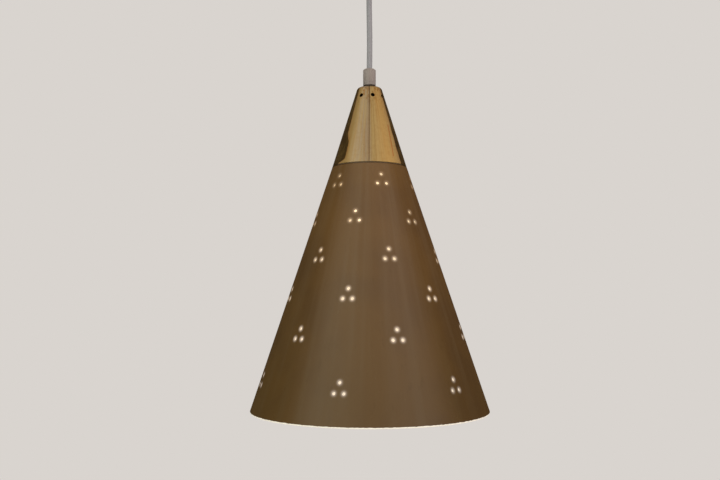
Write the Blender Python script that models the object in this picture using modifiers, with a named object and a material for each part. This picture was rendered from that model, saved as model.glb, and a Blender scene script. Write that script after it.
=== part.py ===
"""Ceiling lamp: a perforated, painted cone under a brass cap, hung on a cord from a small ceiling cup.

The origin is on the ceiling, on the axis of the lamp. +Z points up into the ceiling, so the lamp
hangs down along -Z, and its front is at -Y. Lengths are in metres and angles in degrees.
"""

import math

import bmesh
import bpy
from mathutils import Matrix, Vector
from mathutils.geometry import interpolate_bezier

# Clearances
SEAT_GAP = 0.0003  # between two pieces that touch
CUP_CEILING_GAP = 0.006  # between the cup's rim and the ceiling
HOLDER_SIDE_GAP = 0.0022  # between the bulb holder's shoulder and the brass cap
THREAD_GAP = 0.00045  # between the bulb's thread and the socket's
CORE_GAP = 0.0005  # between the cord's two cores

# Shade: a painted sheet-metal cone with six rows of holes in groups of three
SHADE_RIM_RADIUS = 0.125
SHADE_HEIGHT = 0.2571
SHADE_WALL = 0.001
NECK_RADIUS = 0.0398  # where the shade meets the brass cap, flush
HOLE_DIAMETER = 0.003
HOLE_GROUP_WIDTH = 0.0096
HOLE_GROUP_HEIGHT = 0.0098
HOLE_FIRST_ROW_DROP = 0.0133  # from the shade's top edge to the first row's upper holes
HOLE_LAST_ROW_RISE = 0.0301  # from the rim to the last row's lower holes
HOLE_LAST_ROW_EXTRA = 0.009  # how much farther the last row is set than the others
HOLE_ROWS = 6
HOLE_GROUPS_PER_ROW = 6
HOLE_ROW_TURN = 15.0  # odd rows turn right of the front by this much, even rows left

# Brass cap
CAP_HEIGHT = 0.0868
CAP_TOP_RADIUS = 0.0128  # where the cone would meet the flat top if it had no rounded shoulder
CAP_SHOULDER_RADIUS = 0.004
CAP_WALL = 0.001
VENT_COUNT = 8
VENT_DIAMETER = 0.0044
VENT_DROP = 0.0111  # from the cap's top
VENT_TURN = 12.0
COLLAR_REACH = 0.008  # how far the inner collar goes up into the cap and down into the shade
COLLAR_WALL = 0.0008

# Cord and its two cores
CORD_DIAMETER = 0.006
CORD_FREE_LENGTH = 0.086  # from the ceiling cup's outlet to the grip
CORE_DIAMETER = 0.0022

# Cord grip, nipple and what they clamp
GRIP_JAW_HEIGHT = 0.0102  # the part of the grip above the nipple
GRIP_WALL = 0.0016  # around the nipple
GRIP_CHAMFER = 0.0012
GRIP_SCREW_RADIUS = 0.0016
WASHER_THICKNESS = 0.0016
WASHER_WIDTH = 0.0011
NIPPLE_BORE_GAP = 0.0006
NIPPLE_WALL = 0.0014
NIPPLE_IN_GRIP = 0.0078
LOCK_NUT_HEIGHT = 0.003
LOCK_NUT_WALL = 0.0017

# Screw thread of the bulb and its socket
THREAD_RADIUS = 0.01265  # middle of the bulb's thread
THREAD_DEPTH = 0.0009
THREAD_PITCH = 0.00362
SOCKET_THREAD_TURNS = 4
BULB_THREAD_TURNS = 4

# Bulb holder
BARREL_WALL = 0.00415
HOLDER_WALL = 0.002
HOLDER_BOSS_WALL = 0.0027
HOLDER_BOSS_HEIGHT = 0.006
HOLDER_DOME_HEIGHT = 0.016
HOLDER_SKIRT_HEIGHT = 0.004
HOLDER_SPIGOT_HEIGHT = 0.003
INSERT_HEIGHT = 0.010
INSERT_RECESS = 0.0015  # from the shoulder of the dome down to the insert's top
TERMINAL_HEAD_RADIUS = 0.0026
TERMINAL_HEAD_HEIGHT = 0.0022
TERMINAL_SHANK_RADIUS = 0.0014
TERMINAL_SHANK_LENGTH = 0.005
TERMINAL_SPREAD = 0.008
CONTACT_RADIUS = 0.0038
CONTACT_THICKNESS = 0.0008
SOCKET_WALL = 0.0005
SOCKET_HEIGHT = 0.022

# Bulb
BULB_LENGTH = 0.105
BULB_RADIUS = 0.030
BULB_GLASS_WALL = 0.0008
BULB_BASE_LENGTH = 0.0265  # from the contact to the end of the metal base
BULB_BASE_WALL = 0.0004
BULB_BASE_SHOULDER = 0.00285  # how far the base narrows at the insulator
BULB_LIP_WIDTH = 0.0015
BULB_TIP_HEIGHT = 0.0016
BULB_TIP_RADIUS = 0.0047
BULB_INSULATOR_HEIGHT = 0.0034
BULB_NECK_IN_BASE = 0.010
STEM_RADIUS = 0.0028
STEM_LENGTH = 0.030
FILAMENT_DROP = 0.070  # from the contact to the filament
FILAMENT_SPREAD = 0.013
FILAMENT_SAG = 0.003
FILAMENT_WIRE = 0.0008
LEAD_WIRE = 0.0009

# Ceiling fixing: plate, bush and hook
PLATE_SIDE_GAP = 0.0074  # between the plate and the ceiling cup, for the swing
PLATE_THICKNESS = 0.002
PLATE_SLOT_WIDTH = 0.0045
PLATE_SLOT_LENGTH = 0.009
PLATE_SLOT_EDGE = 0.0025
BUSH_WALL = 0.0027
BUSH_HEIGHT = 0.005
BUSH_ROOF = 0.001
HOOK_WIRE = 0.004
HOOK_BOWL_PLAY = 0.0021
HOOK_NECK_INSIDE = 0.0025
HOOK_SHANK_SHOWING = 0.001
HOOK_OPENING_TURN = 200.0  # how far round the bowl the hook curls

# Suspension ring
RING_WIRE = 0.0028
RING_PLAY = 0.0021  # between the hook's wire and the hanger's edge, inside the ring

# Cord hanger, saddle and terminal block
HANGER_THICKNESS = 0.002
HANGER_EYE_PLAY = 0.0013
HANGER_EYE_EDGE = 0.0025
HANGER_BELOW_EYE = 0.002
HANGER_SCREW_EDGE = 0.00085
HANGER_END = 0.001  # how far the hanger goes below the saddle
BLOCK_HEIGHT = 0.0095
BLOCK_INNER_WALL = 0.00065
BLOCK_OUTER_WALL = 0.0011
BLOCK_FACE_WALL = 0.0019
BLOCK_BARREL_WALL = 0.0009
CORE_REACH = 0.0042  # from the terminal block down to the end of the cord's sheath
SADDLE_HEIGHT = 0.008
SADDLE_THICKNESS = 0.00195
SADDLE_CORD_WALL = 0.00075
SADDLE_BELOW_SHEATH_END = 0.001
SADDLE_BACK_GAP = 0.0039  # between the saddle and the hanger
SCREW_RADIUS = 0.00125
SCREW_HEAD_RADIUS = 0.0023
SCREW_HEAD_HEIGHT = 0.0015

# Ceiling cup
CUP_SIDE_ROOM = 0.0204  # beside the hanger
CUP_WALL = 0.0016
CUP_BOWL_DEPTH = 0.027  # of the rounded bottom
CUP_BELOW_HANGER = 0.0025
CUP_COLLAR_WALL = 0.0039
CUP_COLLAR_HEIGHT = 0.0074
CUP_SCREW_RADIUS = 0.0015

# How finely round shapes are cut into flats
CONE_STEPS = 48
CUP_STEPS = 28
ROUND_STEPS = 24
SMALL_STEPS = 12
VENT_SIDES = 8
HOLE_SIDES = 6
THREAD_ROWS_PER_TURN = 4
ARC_STEP = 22.5
BULB_ARC_STEP = 22.0
SHARP_ANGLE = 35.0

# Sizes that follow from others
CORD_RADIUS = CORD_DIAMETER / 2
CORD_BORE_RADIUS = CORD_RADIUS + SEAT_GAP
CORE_SPREAD = (CORE_DIAMETER + CORE_GAP) / 2
NIPPLE_BORE_RADIUS = CORD_RADIUS + NIPPLE_BORE_GAP
NIPPLE_RADIUS = NIPPLE_BORE_RADIUS + NIPPLE_WALL
NIPPLE_HOLE_RADIUS = NIPPLE_RADIUS + SEAT_GAP
GRIP_RADIUS = NIPPLE_HOLE_RADIUS + GRIP_WALL
GRIP_HEIGHT = GRIP_JAW_HEIGHT + SEAT_GAP + NIPPLE_IN_GRIP
WASHER_RADIUS = NIPPLE_HOLE_RADIUS + WASHER_WIDTH
SOCKET_RADIUS = THREAD_RADIUS + THREAD_GAP
BARREL_BORE_RADIUS = SOCKET_RADIUS + SOCKET_WALL + THREAD_DEPTH / 2 + SEAT_GAP
HOLDER_RADIUS = BARREL_BORE_RADIUS + BARREL_WALL
HOLDER_BOSS_RADIUS = NIPPLE_HOLE_RADIUS + HOLDER_BOSS_WALL
HOLDER_HEAD_HEIGHT = HOLDER_BOSS_HEIGHT + HOLDER_DOME_HEIGHT
BULB_INSULATOR_RADIUS = THREAD_RADIUS - BULB_BASE_SHOULDER
BULB_NECK_RADIUS = THREAD_RADIUS - BULB_BASE_WALL - THREAD_DEPTH / 2 - SEAT_GAP
HOOK_BOWL_RADIUS = (HOOK_WIRE + RING_WIRE) / 2 + HOOK_BOWL_PLAY
HOOK_NECK_RADIUS = HOOK_WIRE / 2 + HOOK_NECK_INSIDE
HOOK_SWEEP = math.acos(HOOK_NECK_RADIUS / (HOOK_BOWL_RADIUS + HOOK_NECK_RADIUS))
RING_RADIUS = (HOOK_WIRE + HANGER_EYE_EDGE + RING_PLAY + RING_WIRE) / 2 + SEAT_GAP
HANGER_EYE_RADIUS = RING_WIRE / 2 + SEAT_GAP + HANGER_EYE_PLAY
SCREW_HOLE_RADIUS = SCREW_RADIUS + SEAT_GAP
SADDLE_SCREW_SPREAD = CORD_BORE_RADIUS + SADDLE_CORD_WALL + SCREW_HOLE_RADIUS
HANGER_WIDTH = (SADDLE_SCREW_SPREAD + SCREW_HOLE_RADIUS + HANGER_SCREW_EDGE) * 2
BLOCK_BARREL_RADIUS = CORE_DIAMETER / 2 + SEAT_GAP + BLOCK_BARREL_WALL
BLOCK_BORE_RADIUS = BLOCK_BARREL_RADIUS + SEAT_GAP
BLOCK_BARREL_SPREAD = SCREW_HOLE_RADIUS + BLOCK_INNER_WALL + BLOCK_BORE_RADIUS
BLOCK_WIDTH = (BLOCK_BARREL_SPREAD + BLOCK_BORE_RADIUS + BLOCK_OUTER_WALL) * 2
BLOCK_DEPTH = (BLOCK_BORE_RADIUS + BLOCK_FACE_WALL) * 2
CUP_RIM_RADIUS = HANGER_WIDTH / 2 + CUP_SIDE_ROOM + CUP_WALL
CUP_COLLAR_RADIUS = CORD_BORE_RADIUS + CUP_COLLAR_WALL
PLATE_RADIUS = CUP_RIM_RADIUS - CUP_WALL - PLATE_SIDE_GAP
BUSH_RADIUS = HOOK_WIRE / 2 + SEAT_GAP + BUSH_WALL
CAP_SLOPE = (NECK_RADIUS - CAP_TOP_RADIUS) / CAP_HEIGHT
SHADE_SLOPE = (SHADE_RIM_RADIUS - NECK_RADIUS) / SHADE_HEIGHT
CAP_INSET = CAP_WALL * math.hypot(1, CAP_SLOPE)  # of the cap's inner side, measured level
SHADE_INSET = SHADE_WALL * math.hypot(1, SHADE_SLOPE)

# Places that follow from the sizes, from the ceiling down
BUSH_TOP_Z = -PLATE_THICKNESS - SEAT_GAP
HOOK_TOP_Z = BUSH_TOP_Z - BUSH_ROOF - SEAT_GAP
HOOK_NECK_Z = BUSH_TOP_Z - BUSH_HEIGHT - HOOK_SHANK_SHOWING
HOOK_BOWL_Z = HOOK_NECK_Z - (HOOK_BOWL_RADIUS + HOOK_NECK_RADIUS) * math.sin(HOOK_SWEEP)
RING_PIVOT_Z = HOOK_BOWL_Z - HOOK_BOWL_RADIUS
RING_CENTRE_Z = RING_PIVOT_Z + HOOK_WIRE / 2 + SEAT_GAP + RING_WIRE / 2 - RING_RADIUS
HANGER_PIVOT_Z = RING_CENTRE_Z - RING_RADIUS
EYE_CENTRE_Z = HANGER_PIVOT_Z + RING_WIRE / 2 + SEAT_GAP - HANGER_EYE_RADIUS
HANGER_TOP_Z = EYE_CENTRE_Z + HANGER_EYE_RADIUS + HANGER_EYE_EDGE
HANGER_JOG = CORD_BORE_RADIUS + HANGER_THICKNESS / 2
HANGER_JOG_Z = EYE_CENTRE_Z - HANGER_EYE_RADIUS - HANGER_BELOW_EYE
HANGER_FACE_X = -CORD_BORE_RADIUS
BLOCK_TOP_Z = HANGER_JOG_Z - HANGER_JOG - HANGER_THICKNESS / 2
BLOCK_BOTTOM_Z = BLOCK_TOP_Z - BLOCK_HEIGHT
BLOCK_X = HANGER_FACE_X + SEAT_GAP + BLOCK_DEPTH / 2
CORD_TOP_Z = BLOCK_BOTTOM_Z - CORE_REACH
SADDLE_Z = CORD_TOP_Z - SADDLE_BELOW_SHEATH_END - SADDLE_HEIGHT / 2
HANGER_BOTTOM_Z = SADDLE_Z - SADDLE_HEIGHT / 2 - HANGER_END
CUP_FLOOR_Z = HANGER_BOTTOM_Z - CUP_BELOW_HANGER
CUP_OUTLET_Z = CUP_FLOOR_Z - CUP_WALL - CUP_COLLAR_HEIGHT
GRIP_TOP_Z = CUP_OUTLET_Z - CORD_FREE_LENGTH
GRIP_BOTTOM_Z = GRIP_TOP_Z - GRIP_HEIGHT
WASHER_TOP_Z = GRIP_BOTTOM_Z - SEAT_GAP
CAP_TOP_Z = WASHER_TOP_Z - WASHER_THICKNESS - SEAT_GAP
JOINT_Z = CAP_TOP_Z - CAP_HEIGHT
NUT_TOP_Z = CAP_TOP_Z - CAP_WALL - SEAT_GAP
CAP_ROOM_DROP = (HOLDER_RADIUS + HOLDER_SIDE_GAP + CAP_INSET - CAP_TOP_RADIUS) / CAP_SLOPE
NUT_ROOM_DROP = CAP_TOP_Z - NUT_TOP_Z + LOCK_NUT_HEIGHT + SEAT_GAP + HOLDER_HEAD_HEIGHT
SHOULDER_Z = CAP_TOP_Z - max(CAP_ROOM_DROP, NUT_ROOM_DROP)
NIPPLE_TOP_Z = GRIP_BOTTOM_Z + NIPPLE_IN_GRIP
NIPPLE_BOTTOM_Z = SHOULDER_Z + HOLDER_DOME_HEIGHT
BARREL_TOP_Z = SHOULDER_Z - HOLDER_SKIRT_HEIGHT - SEAT_GAP
INSERT_TOP_Z = SHOULDER_Z - INSERT_RECESS
INSERT_BOTTOM_Z = INSERT_TOP_Z - INSERT_HEIGHT
BULB_TOP_Z = INSERT_BOTTOM_Z - SEAT_GAP - CONTACT_THICKNESS - SEAT_GAP
BARREL_BOTTOM_Z = BULB_TOP_Z - BULB_BASE_LENGTH

PIECES = bpy.data.collections.new("ceiling_lamp")
CUTTERS = bpy.data.collections.new("cutters")


def clear_scene():
    """Start from an empty scene with one collection for pieces and one for cutters."""
    for obj in list(bpy.data.objects):
        bpy.data.objects.remove(obj)
    for collection in (PIECES, CUTTERS):
        bpy.context.scene.collection.children.link(collection)


def make_material(name, color_hex, roughness, metallic=0.0, alpha=1.0):
    """A Principled material from an sRGB colour."""
    material = bpy.data.materials.new(name)
    material.use_nodes = True
    shader = material.node_tree.nodes["Principled BSDF"]
    srgb = [int(color_hex[i : i + 2], 16) / 255 for i in (1, 3, 5)]
    linear = [((c + 0.055) / 1.055) ** 2.4 if c > 0.04045 else c / 12.92 for c in srgb]
    shader.inputs["Base Color"].default_value = (*linear, 1.0)
    shader.inputs["Roughness"].default_value = roughness
    shader.inputs["Metallic"].default_value = metallic
    shader.inputs["Alpha"].default_value = alpha
    material.diffuse_color = (*linear, alpha)
    return material


def world_place(obj):
    """Where an object's origin is in the world; nothing here is turned under its parent."""
    place = Vector(obj.location)
    while obj.parent:
        obj = obj.parent
        place += obj.location
    return place


def add_pivot(name, height, parent=None):
    """An empty on a joint's axis, that the pieces of the moving body hang from."""
    pivot = bpy.data.objects.new(name, None)
    pivot.empty_display_size = 0.01
    PIECES.objects.link(pivot)
    pivot.location = Vector((0, 0, height)) - (world_place(parent) if parent else Vector())
    pivot.parent = parent
    return pivot


def add_piece(name, mesh, at, material, pivot=None):
    """Put a mesh in the scene as a named piece, hung from its body's pivot."""
    mesh.name = name
    piece = bpy.data.objects.new(name, mesh)
    PIECES.objects.link(piece)
    piece.data.materials.append(material)
    piece.location = Vector(at) - (world_place(pivot) if pivot else Vector())
    piece.parent = pivot
    return piece


def settle(obj):
    """Apply an object's modifiers and shade its round faces smooth."""
    bpy.context.view_layer.update()
    evaluated = obj.evaluated_get(bpy.context.evaluated_depsgraph_get())
    mesh = bpy.data.meshes.new_from_object(evaluated)
    obj.modifiers.clear()
    obj.data = mesh
    mesh.name = obj.name
    mesh.shade_smooth()
    mesh.set_sharp_from_angle(angle=math.radians(SHARP_ANGLE))
    return obj


def turned_mesh(profile, steps, closed=True):
    """Turn points (radius, height) about Z. They run down the outer side and back up the inner."""
    mesh = bpy.data.meshes.new("profile")
    count = len(profile)
    edges = [(i, (i + 1) % count) for i in range(count if closed else count - 1)]
    mesh.from_pydata([(radius, 0, height) for radius, height in profile], edges, [])
    obj = bpy.data.objects.new("turning", mesh)
    CUTTERS.objects.link(obj)
    screw = obj.modifiers.new("Turn", "SCREW")
    screw.steps = steps
    screw.render_steps = steps
    screw.use_merge_vertices = True
    screw.merge_threshold = 0.00001
    settle(obj)
    mesh = obj.data
    bpy.data.objects.remove(obj)
    return mesh


def turned(name, profile, z, material, pivot=None, steps=ROUND_STEPS, closed=True):
    """A piece turned about the lamp's axis; heights in its profile count from z."""
    return add_piece(name, turned_mesh(profile, steps, closed), (0, 0, z), material, pivot)


def tube_profile(outer, inner, top, bottom):
    """The closed profile of a plain tube or ring."""
    return [(outer, top), (outer, bottom), (inner, bottom), (inner, top)]


def shell_profile(outer, wall):
    """Close an outer profile into a shell by setting it in by the wall."""
    points = [Vector(p) for p in outer]
    inner = []
    for i, point in enumerate(points):
        before = (point - points[i - 1]).normalized() if i else None
        after = (points[i + 1] - point).normalized() if i + 1 < len(points) else None
        before = before or after
        after = after or before
        inward = Vector((before.y + after.y, -before.x - after.x)).normalized()
        spread = inward.dot(Vector((before.y, -before.x)))
        inner.append(point + inward * wall / spread)
    return [tuple(p) for p in points + inner[::-1]]


def arc(centre, radius, start, end, step=ARC_STEP):
    """Points on an arc, both ends included, with angles in degrees."""
    count = max(2, math.ceil(abs(end - start) / step))
    angles = [math.radians(start + (end - start) * i / count) for i in range(count + 1)]
    return [(centre[0] + radius * math.cos(a), centre[1] + radius * math.sin(a)) for a in angles]


def add_cutter(name, mesh, at=(0, 0, 0)):
    """A shape that cuts others and is no piece of the lamp."""
    cutter = bpy.data.objects.new(name, mesh)
    CUTTERS.objects.link(cutter)
    cutter.location = at
    cutter.hide_render = True
    cutter.display_type = "WIRE"
    return cutter


def cut(piece, cutter):
    """Cut one shape out of a piece."""
    boolean = piece.modifiers.new(cutter.name, "BOOLEAN")
    boolean.object = cutter
    boolean.solver = "EXACT"
    settle(piece)


def rods_mesh(rods, radius, length, sides):
    """One mesh of straight rods, each given by its middle and its direction."""
    bm = bmesh.new()
    for middle, direction in rods:
        place = Matrix.Translation(middle) @ direction.to_track_quat("Z", "Y").to_matrix().to_4x4()
        bmesh.ops.create_cone(
            bm,
            cap_ends=True,
            segments=sides,
            radius1=radius,
            radius2=radius,
            depth=length,
            matrix=place,
        )
    mesh = bpy.data.meshes.new("rods")
    bm.to_mesh(mesh)
    bm.free()
    return mesh


def box_mesh(size_x, size_y, size_z):
    """A box about its own middle."""
    bm = bmesh.new()
    bmesh.ops.create_cube(bm, size=1, matrix=Matrix.Diagonal((size_x, size_y, size_z, 1)))
    mesh = bpy.data.meshes.new("box")
    bm.to_mesh(mesh)
    bm.free()
    return mesh


def wire(name, points, diameter, material, pivot=None):
    """A round wire or cord along points given in the world; its origin is its first point."""
    curve = bpy.data.curves.new(name, "CURVE")
    curve.dimensions = "3D"
    curve.bevel_depth = diameter / 2
    curve.bevel_resolution = 2
    curve.use_fill_caps = True
    spline = curve.splines.new("POLY")
    spline.points.add(len(points) - 1)
    start = Vector(points[0])
    for spot, point in zip(spline.points, points):
        spot.co = (*(Vector(point) - start), 1)
    line = bpy.data.objects.new(name + "_line", curve)
    CUTTERS.objects.link(line)
    bpy.context.view_layer.update()
    evaluated = line.evaluated_get(bpy.context.evaluated_depsgraph_get())
    mesh = bpy.data.meshes.new_from_object(evaluated)
    bpy.data.objects.remove(line)
    bm = bmesh.new()
    bm.from_mesh(mesh)
    bmesh.ops.remove_doubles(bm, verts=bm.verts, dist=0.00001)
    bm.to_mesh(mesh)
    bm.free()
    return settle(add_piece(name, mesh, start, material, pivot))


def screw_mesh(length, head=True, radius=SCREW_RADIUS):
    """A screw along +X: its head's seat is at the origin and its shank runs to -X."""
    profile = [(radius, 0), (radius, -length), (0, -length)]
    if head:
        top = [(0, SCREW_HEAD_HEIGHT), (SCREW_HEAD_RADIUS * 0.8, SCREW_HEAD_HEIGHT)]
        profile = top + [(SCREW_HEAD_RADIUS, SCREW_HEAD_HEIGHT / 2), (SCREW_HEAD_RADIUS, 0)] + profile
    else:
        profile = [(0, 0)] + profile
    mesh = turned_mesh(profile, SMALL_STEPS, closed=False)
    mesh.transform(Matrix.Rotation(math.radians(90), 4, "Y"))
    return mesh


def front_direction(turn):
    """The level direction that lies turn degrees to the right of the front."""
    angle = math.radians(turn)
    return Vector((math.sin(angle), -math.cos(angle), 0))


def add_ceiling_fixing(steel):
    """The plate that is screwed to the ceiling, its bush and the hook."""
    disc = [(0, 0), (PLATE_RADIUS, 0), (PLATE_RADIUS, -PLATE_THICKNESS), (0, -PLATE_THICKNESS)]
    plate = turned("mounting_plate", disc, 0, steel, closed=False)
    for side in (-1, 1):
        spread = PLATE_RADIUS - PLATE_SLOT_EDGE - PLATE_SLOT_LENGTH / 2
        slot = box_mesh(PLATE_SLOT_LENGTH, PLATE_SLOT_WIDTH, PLATE_THICKNESS * 3)
        cut(plate, add_cutter("plate_slot", slot, (side * spread, 0, -PLATE_THICKNESS / 2)))

    bore = HOOK_WIRE / 2 + SEAT_GAP
    roof = -BUSH_ROOF
    bush = [(0, 0), (BUSH_RADIUS, 0), (BUSH_RADIUS, -BUSH_HEIGHT), (bore, -BUSH_HEIGHT), (bore, roof)]
    turned("hook_bush", bush + [(0, roof)], BUSH_TOP_Z, steel, closed=False)

    neck_end = -180 + math.degrees(HOOK_SWEEP)
    neck = arc((HOOK_NECK_RADIUS, HOOK_NECK_Z), HOOK_NECK_RADIUS, -180, neck_end)
    bowl = arc((0, HOOK_BOWL_Z), HOOK_BOWL_RADIUS, math.degrees(HOOK_SWEEP), -HOOK_OPENING_TURN)
    line = [(0, HOOK_TOP_Z)] + neck + bowl[1:]
    wire("ceiling_hook", [(0, y, z) for y, z in line], HOOK_WIRE, steel)


def add_suspension_ring(steel, pivot):
    """The link between the hook and the hanger, standing across the hook's wire."""
    bpy.ops.mesh.primitive_torus_add(
        major_segments=ROUND_STEPS,
        minor_segments=8,
        major_radius=RING_RADIUS,
        minor_radius=RING_WIRE / 2,
    )
    torus = bpy.context.object
    mesh = torus.data
    bpy.data.objects.remove(torus)
    mesh.transform(Matrix.Rotation(math.radians(90), 4, "X"))
    settle(add_piece("suspension_ring", mesh, (0, 0, RING_CENTRE_Z), steel, pivot))


def add_hanger(steel, pivot):
    """The bent strap that hangs from the ring and carries the cord and the terminal block."""
    half = HANGER_WIDTH / 2
    jog_end = HANGER_JOG_Z - HANGER_JOG
    line = [(0, HANGER_TOP_Z), (0, HANGER_JOG_Z), (-HANGER_JOG, jog_end), (-HANGER_JOG, HANGER_BOTTOM_Z)]
    corners = [(x, y, z - EYE_CENTRE_Z) for x, z in line for y in (-half, half)]
    faces = [(i, i + 2, i + 3, i + 1) for i in range(0, len(corners) - 2, 2)]
    mesh = bpy.data.meshes.new("strap")
    mesh.from_pydata(corners, [], faces)
    hanger = add_piece("cord_hanger", mesh, (0, 0, EYE_CENTRE_Z), steel, pivot)
    thicken = hanger.modifiers.new("Thickness", "SOLIDIFY")
    thicken.thickness = HANGER_THICKNESS
    thicken.offset = 0
    thicken.use_even_offset = True
    settle(hanger)
    across = Vector((1, 0, 0))
    eye = rods_mesh([(Vector(), across)], HANGER_EYE_RADIUS, HANGER_THICKNESS * 4, ROUND_STEPS)
    cut(hanger, add_cutter("hanger_eye", eye, (0, 0, EYE_CENTRE_Z)))
    spots = [(0, BLOCK_TOP_Z - BLOCK_HEIGHT / 2)]
    spots += [(side * SADDLE_SCREW_SPREAD, SADDLE_Z) for side in (-1, 1)]
    rods = [(Vector((-HANGER_JOG, y, z)), across) for y, z in spots]
    holes = rods_mesh(rods, SCREW_HOLE_RADIUS, HANGER_THICKNESS * 3, SMALL_STEPS)
    cut(hanger, add_cutter("hanger_screw_holes", holes))


def add_saddle(plastic, steel, pivot):
    """The saddle that presses the cord against the hanger, with its two screws."""
    back = HANGER_FACE_X + SADDLE_BACK_GAP
    front = CORD_BORE_RADIUS + SADDLE_THICKNESS
    middle = Vector(((back + front) / 2, 0, SADDLE_Z))
    mesh = box_mesh(front - back, HANGER_WIDTH, SADDLE_HEIGHT)
    saddle = add_piece("cord_saddle", mesh, middle, plastic, pivot)
    channel_rod = [(Vector((0, 0, SADDLE_Z)), Vector((0, 0, 1)))]
    channel = rods_mesh(channel_rod, CORD_BORE_RADIUS, SADDLE_HEIGHT * 2, ROUND_STEPS)
    cut(saddle, add_cutter("saddle_channel", channel))
    across = Vector((1, 0, 0))
    sides = {"left": -1, "right": 1}
    rods = [(Vector((middle.x, side * SADDLE_SCREW_SPREAD, SADDLE_Z)), across) for side in sides.values()]
    holes = rods_mesh(rods, SCREW_HOLE_RADIUS, (front - back) * 3, SMALL_STEPS)
    cut(saddle, add_cutter("saddle_screw_holes", holes))
    seat = front + SEAT_GAP
    length = seat - HANGER_FACE_X + HANGER_THICKNESS
    for word, side in sides.items():
        at = (seat, side * SADDLE_SCREW_SPREAD, SADDLE_Z)
        add_piece("saddle_screw_" + word, screw_mesh(length), at, steel, pivot)


def add_terminal_block(nylon, brass, steel, pivot):
    """The block where the lamp's cores meet the house wires, with its barrels and screw."""
    middle = Vector((BLOCK_X, 0, BLOCK_TOP_Z - BLOCK_HEIGHT / 2))
    mesh = box_mesh(BLOCK_DEPTH, BLOCK_WIDTH, BLOCK_HEIGHT)
    block = add_piece("terminal_block", mesh, middle, nylon, pivot)
    sides = {"live": -1, "neutral": 1}
    up = Vector((0, 0, 1))
    rods = [(middle + Vector((0, side * BLOCK_BARREL_SPREAD, 0)), up) for side in sides.values()]
    bores = rods_mesh(rods, BLOCK_BORE_RADIUS, BLOCK_HEIGHT * 2, SMALL_STEPS)
    cut(block, add_cutter("block_bores", bores))
    hole_rod = [(middle, Vector((1, 0, 0)))]
    hole = rods_mesh(hole_rod, SCREW_HOLE_RADIUS, BLOCK_DEPTH * 2, SMALL_STEPS)
    cut(block, add_cutter("block_screw_hole", hole))
    seat = BLOCK_X + BLOCK_DEPTH / 2 + SEAT_GAP
    length = seat - HANGER_FACE_X + HANGER_THICKNESS
    add_piece("block_screw", screw_mesh(length), (seat, 0, middle.z), steel, pivot)
    half = BLOCK_HEIGHT / 2 - SEAT_GAP
    barrel = tube_profile(BLOCK_BARREL_RADIUS, CORE_DIAMETER / 2 + SEAT_GAP, half, -half)
    for word, side in sides.items():
        at = middle + Vector((0, side * BLOCK_BARREL_SPREAD, 0))
        mesh = turned_mesh(barrel, SMALL_STEPS)
        add_piece("block_barrel_" + word, mesh, at, brass, pivot)


def add_upper_cores(materials, pivot):
    """The two cores from the end of the cord's sheath up into the terminal block."""
    for (word, side), material in zip({"live": -1, "neutral": 1}.items(), materials):
        start = Vector((0, side * CORE_SPREAD, CORD_TOP_Z + SEAT_GAP))
        mouth = Vector((BLOCK_X, side * BLOCK_BARREL_SPREAD, BLOCK_BOTTOM_Z))
        inside = mouth + Vector((0, 0, BLOCK_HEIGHT / 2))
        ease = Vector((0, 0, CORE_REACH * 0.45))
        bend = interpolate_bezier(start, start + ease, mouth - ease, mouth, 9)
        wire("upper_core_" + word, bend + [inside], CORE_DIAMETER, material, pivot)


def add_cord(rubber, pivot):
    """The free cord, from the end of its sheath in the ceiling cup down to the grip."""
    end = GRIP_TOP_Z + SEAT_GAP
    count = math.ceil((CORD_TOP_Z - end) / (CORD_DIAMETER * 2.5))
    drop = (CORD_TOP_Z - end) / count
    wire("cord", [(0, 0, CORD_TOP_Z - drop * i) for i in range(count + 1)], CORD_DIAMETER, rubber, pivot)


def add_ceiling_cup(plastic, steel, pivot):
    """The cup that hides the hook and the wires, held on the cord by a grub screw."""
    bowl_top = CUP_FLOOR_Z - CUP_WALL + CUP_BOWL_DEPTH
    inner = CORD_BORE_RADIUS
    rim = CUP_RIM_RADIUS - CUP_WALL
    start = math.degrees(math.acos(CUP_COLLAR_RADIUS / CUP_RIM_RADIUS))
    quarter = arc((0, 0), 1, 0, -start, 14)
    bowl = [(CUP_RIM_RADIUS * x, bowl_top + CUP_BOWL_DEPTH * y) for x, y in quarter]
    hollow = CUP_BOWL_DEPTH - CUP_WALL
    back = math.degrees(math.acos(inner / rim))
    inside = [(rim * x, bowl_top + hollow * y) for x, y in arc((0, 0), 1, -back, 0, 14)]
    outside = [(CUP_RIM_RADIUS, -CUP_CEILING_GAP)] + bowl
    collar = [(CUP_COLLAR_RADIUS, CUP_OUTLET_Z), (inner, CUP_OUTLET_Z)]
    profile = outside + collar + inside + [(rim, -CUP_CEILING_GAP)]
    profile = [(radius, z - CUP_OUTLET_Z) for radius, z in profile]
    cup = turned("ceiling_cup", profile, CUP_OUTLET_Z, plastic, pivot, CUP_STEPS)
    screw_z = CUP_OUTLET_Z + CUP_COLLAR_HEIGHT * 0.45
    reach = CUP_COLLAR_RADIUS - inner
    rod = [(Vector((0, inner + reach / 2, screw_z)), Vector((0, 1, 0)))]
    hole = rods_mesh(rod, CUP_SCREW_RADIUS + SEAT_GAP, reach * 1.6, SMALL_STEPS)
    cut(cup, add_cutter("cup_screw_hole", hole))
    add_grub_screw("cup_grub_screw", CUP_SCREW_RADIUS, inner, CUP_COLLAR_RADIUS, screw_z, steel, pivot)


def add_grub_screw(name, radius, tip, end, z, material, pivot):
    """A headless screw along Y at the lamp's back, from the cord out to the surface."""
    mesh = screw_mesh(end - tip, head=False, radius=radius)
    mesh.transform(Matrix.Rotation(math.radians(90), 4, "Z"))
    add_piece(name, mesh, (0, end, z), material, pivot)


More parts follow.
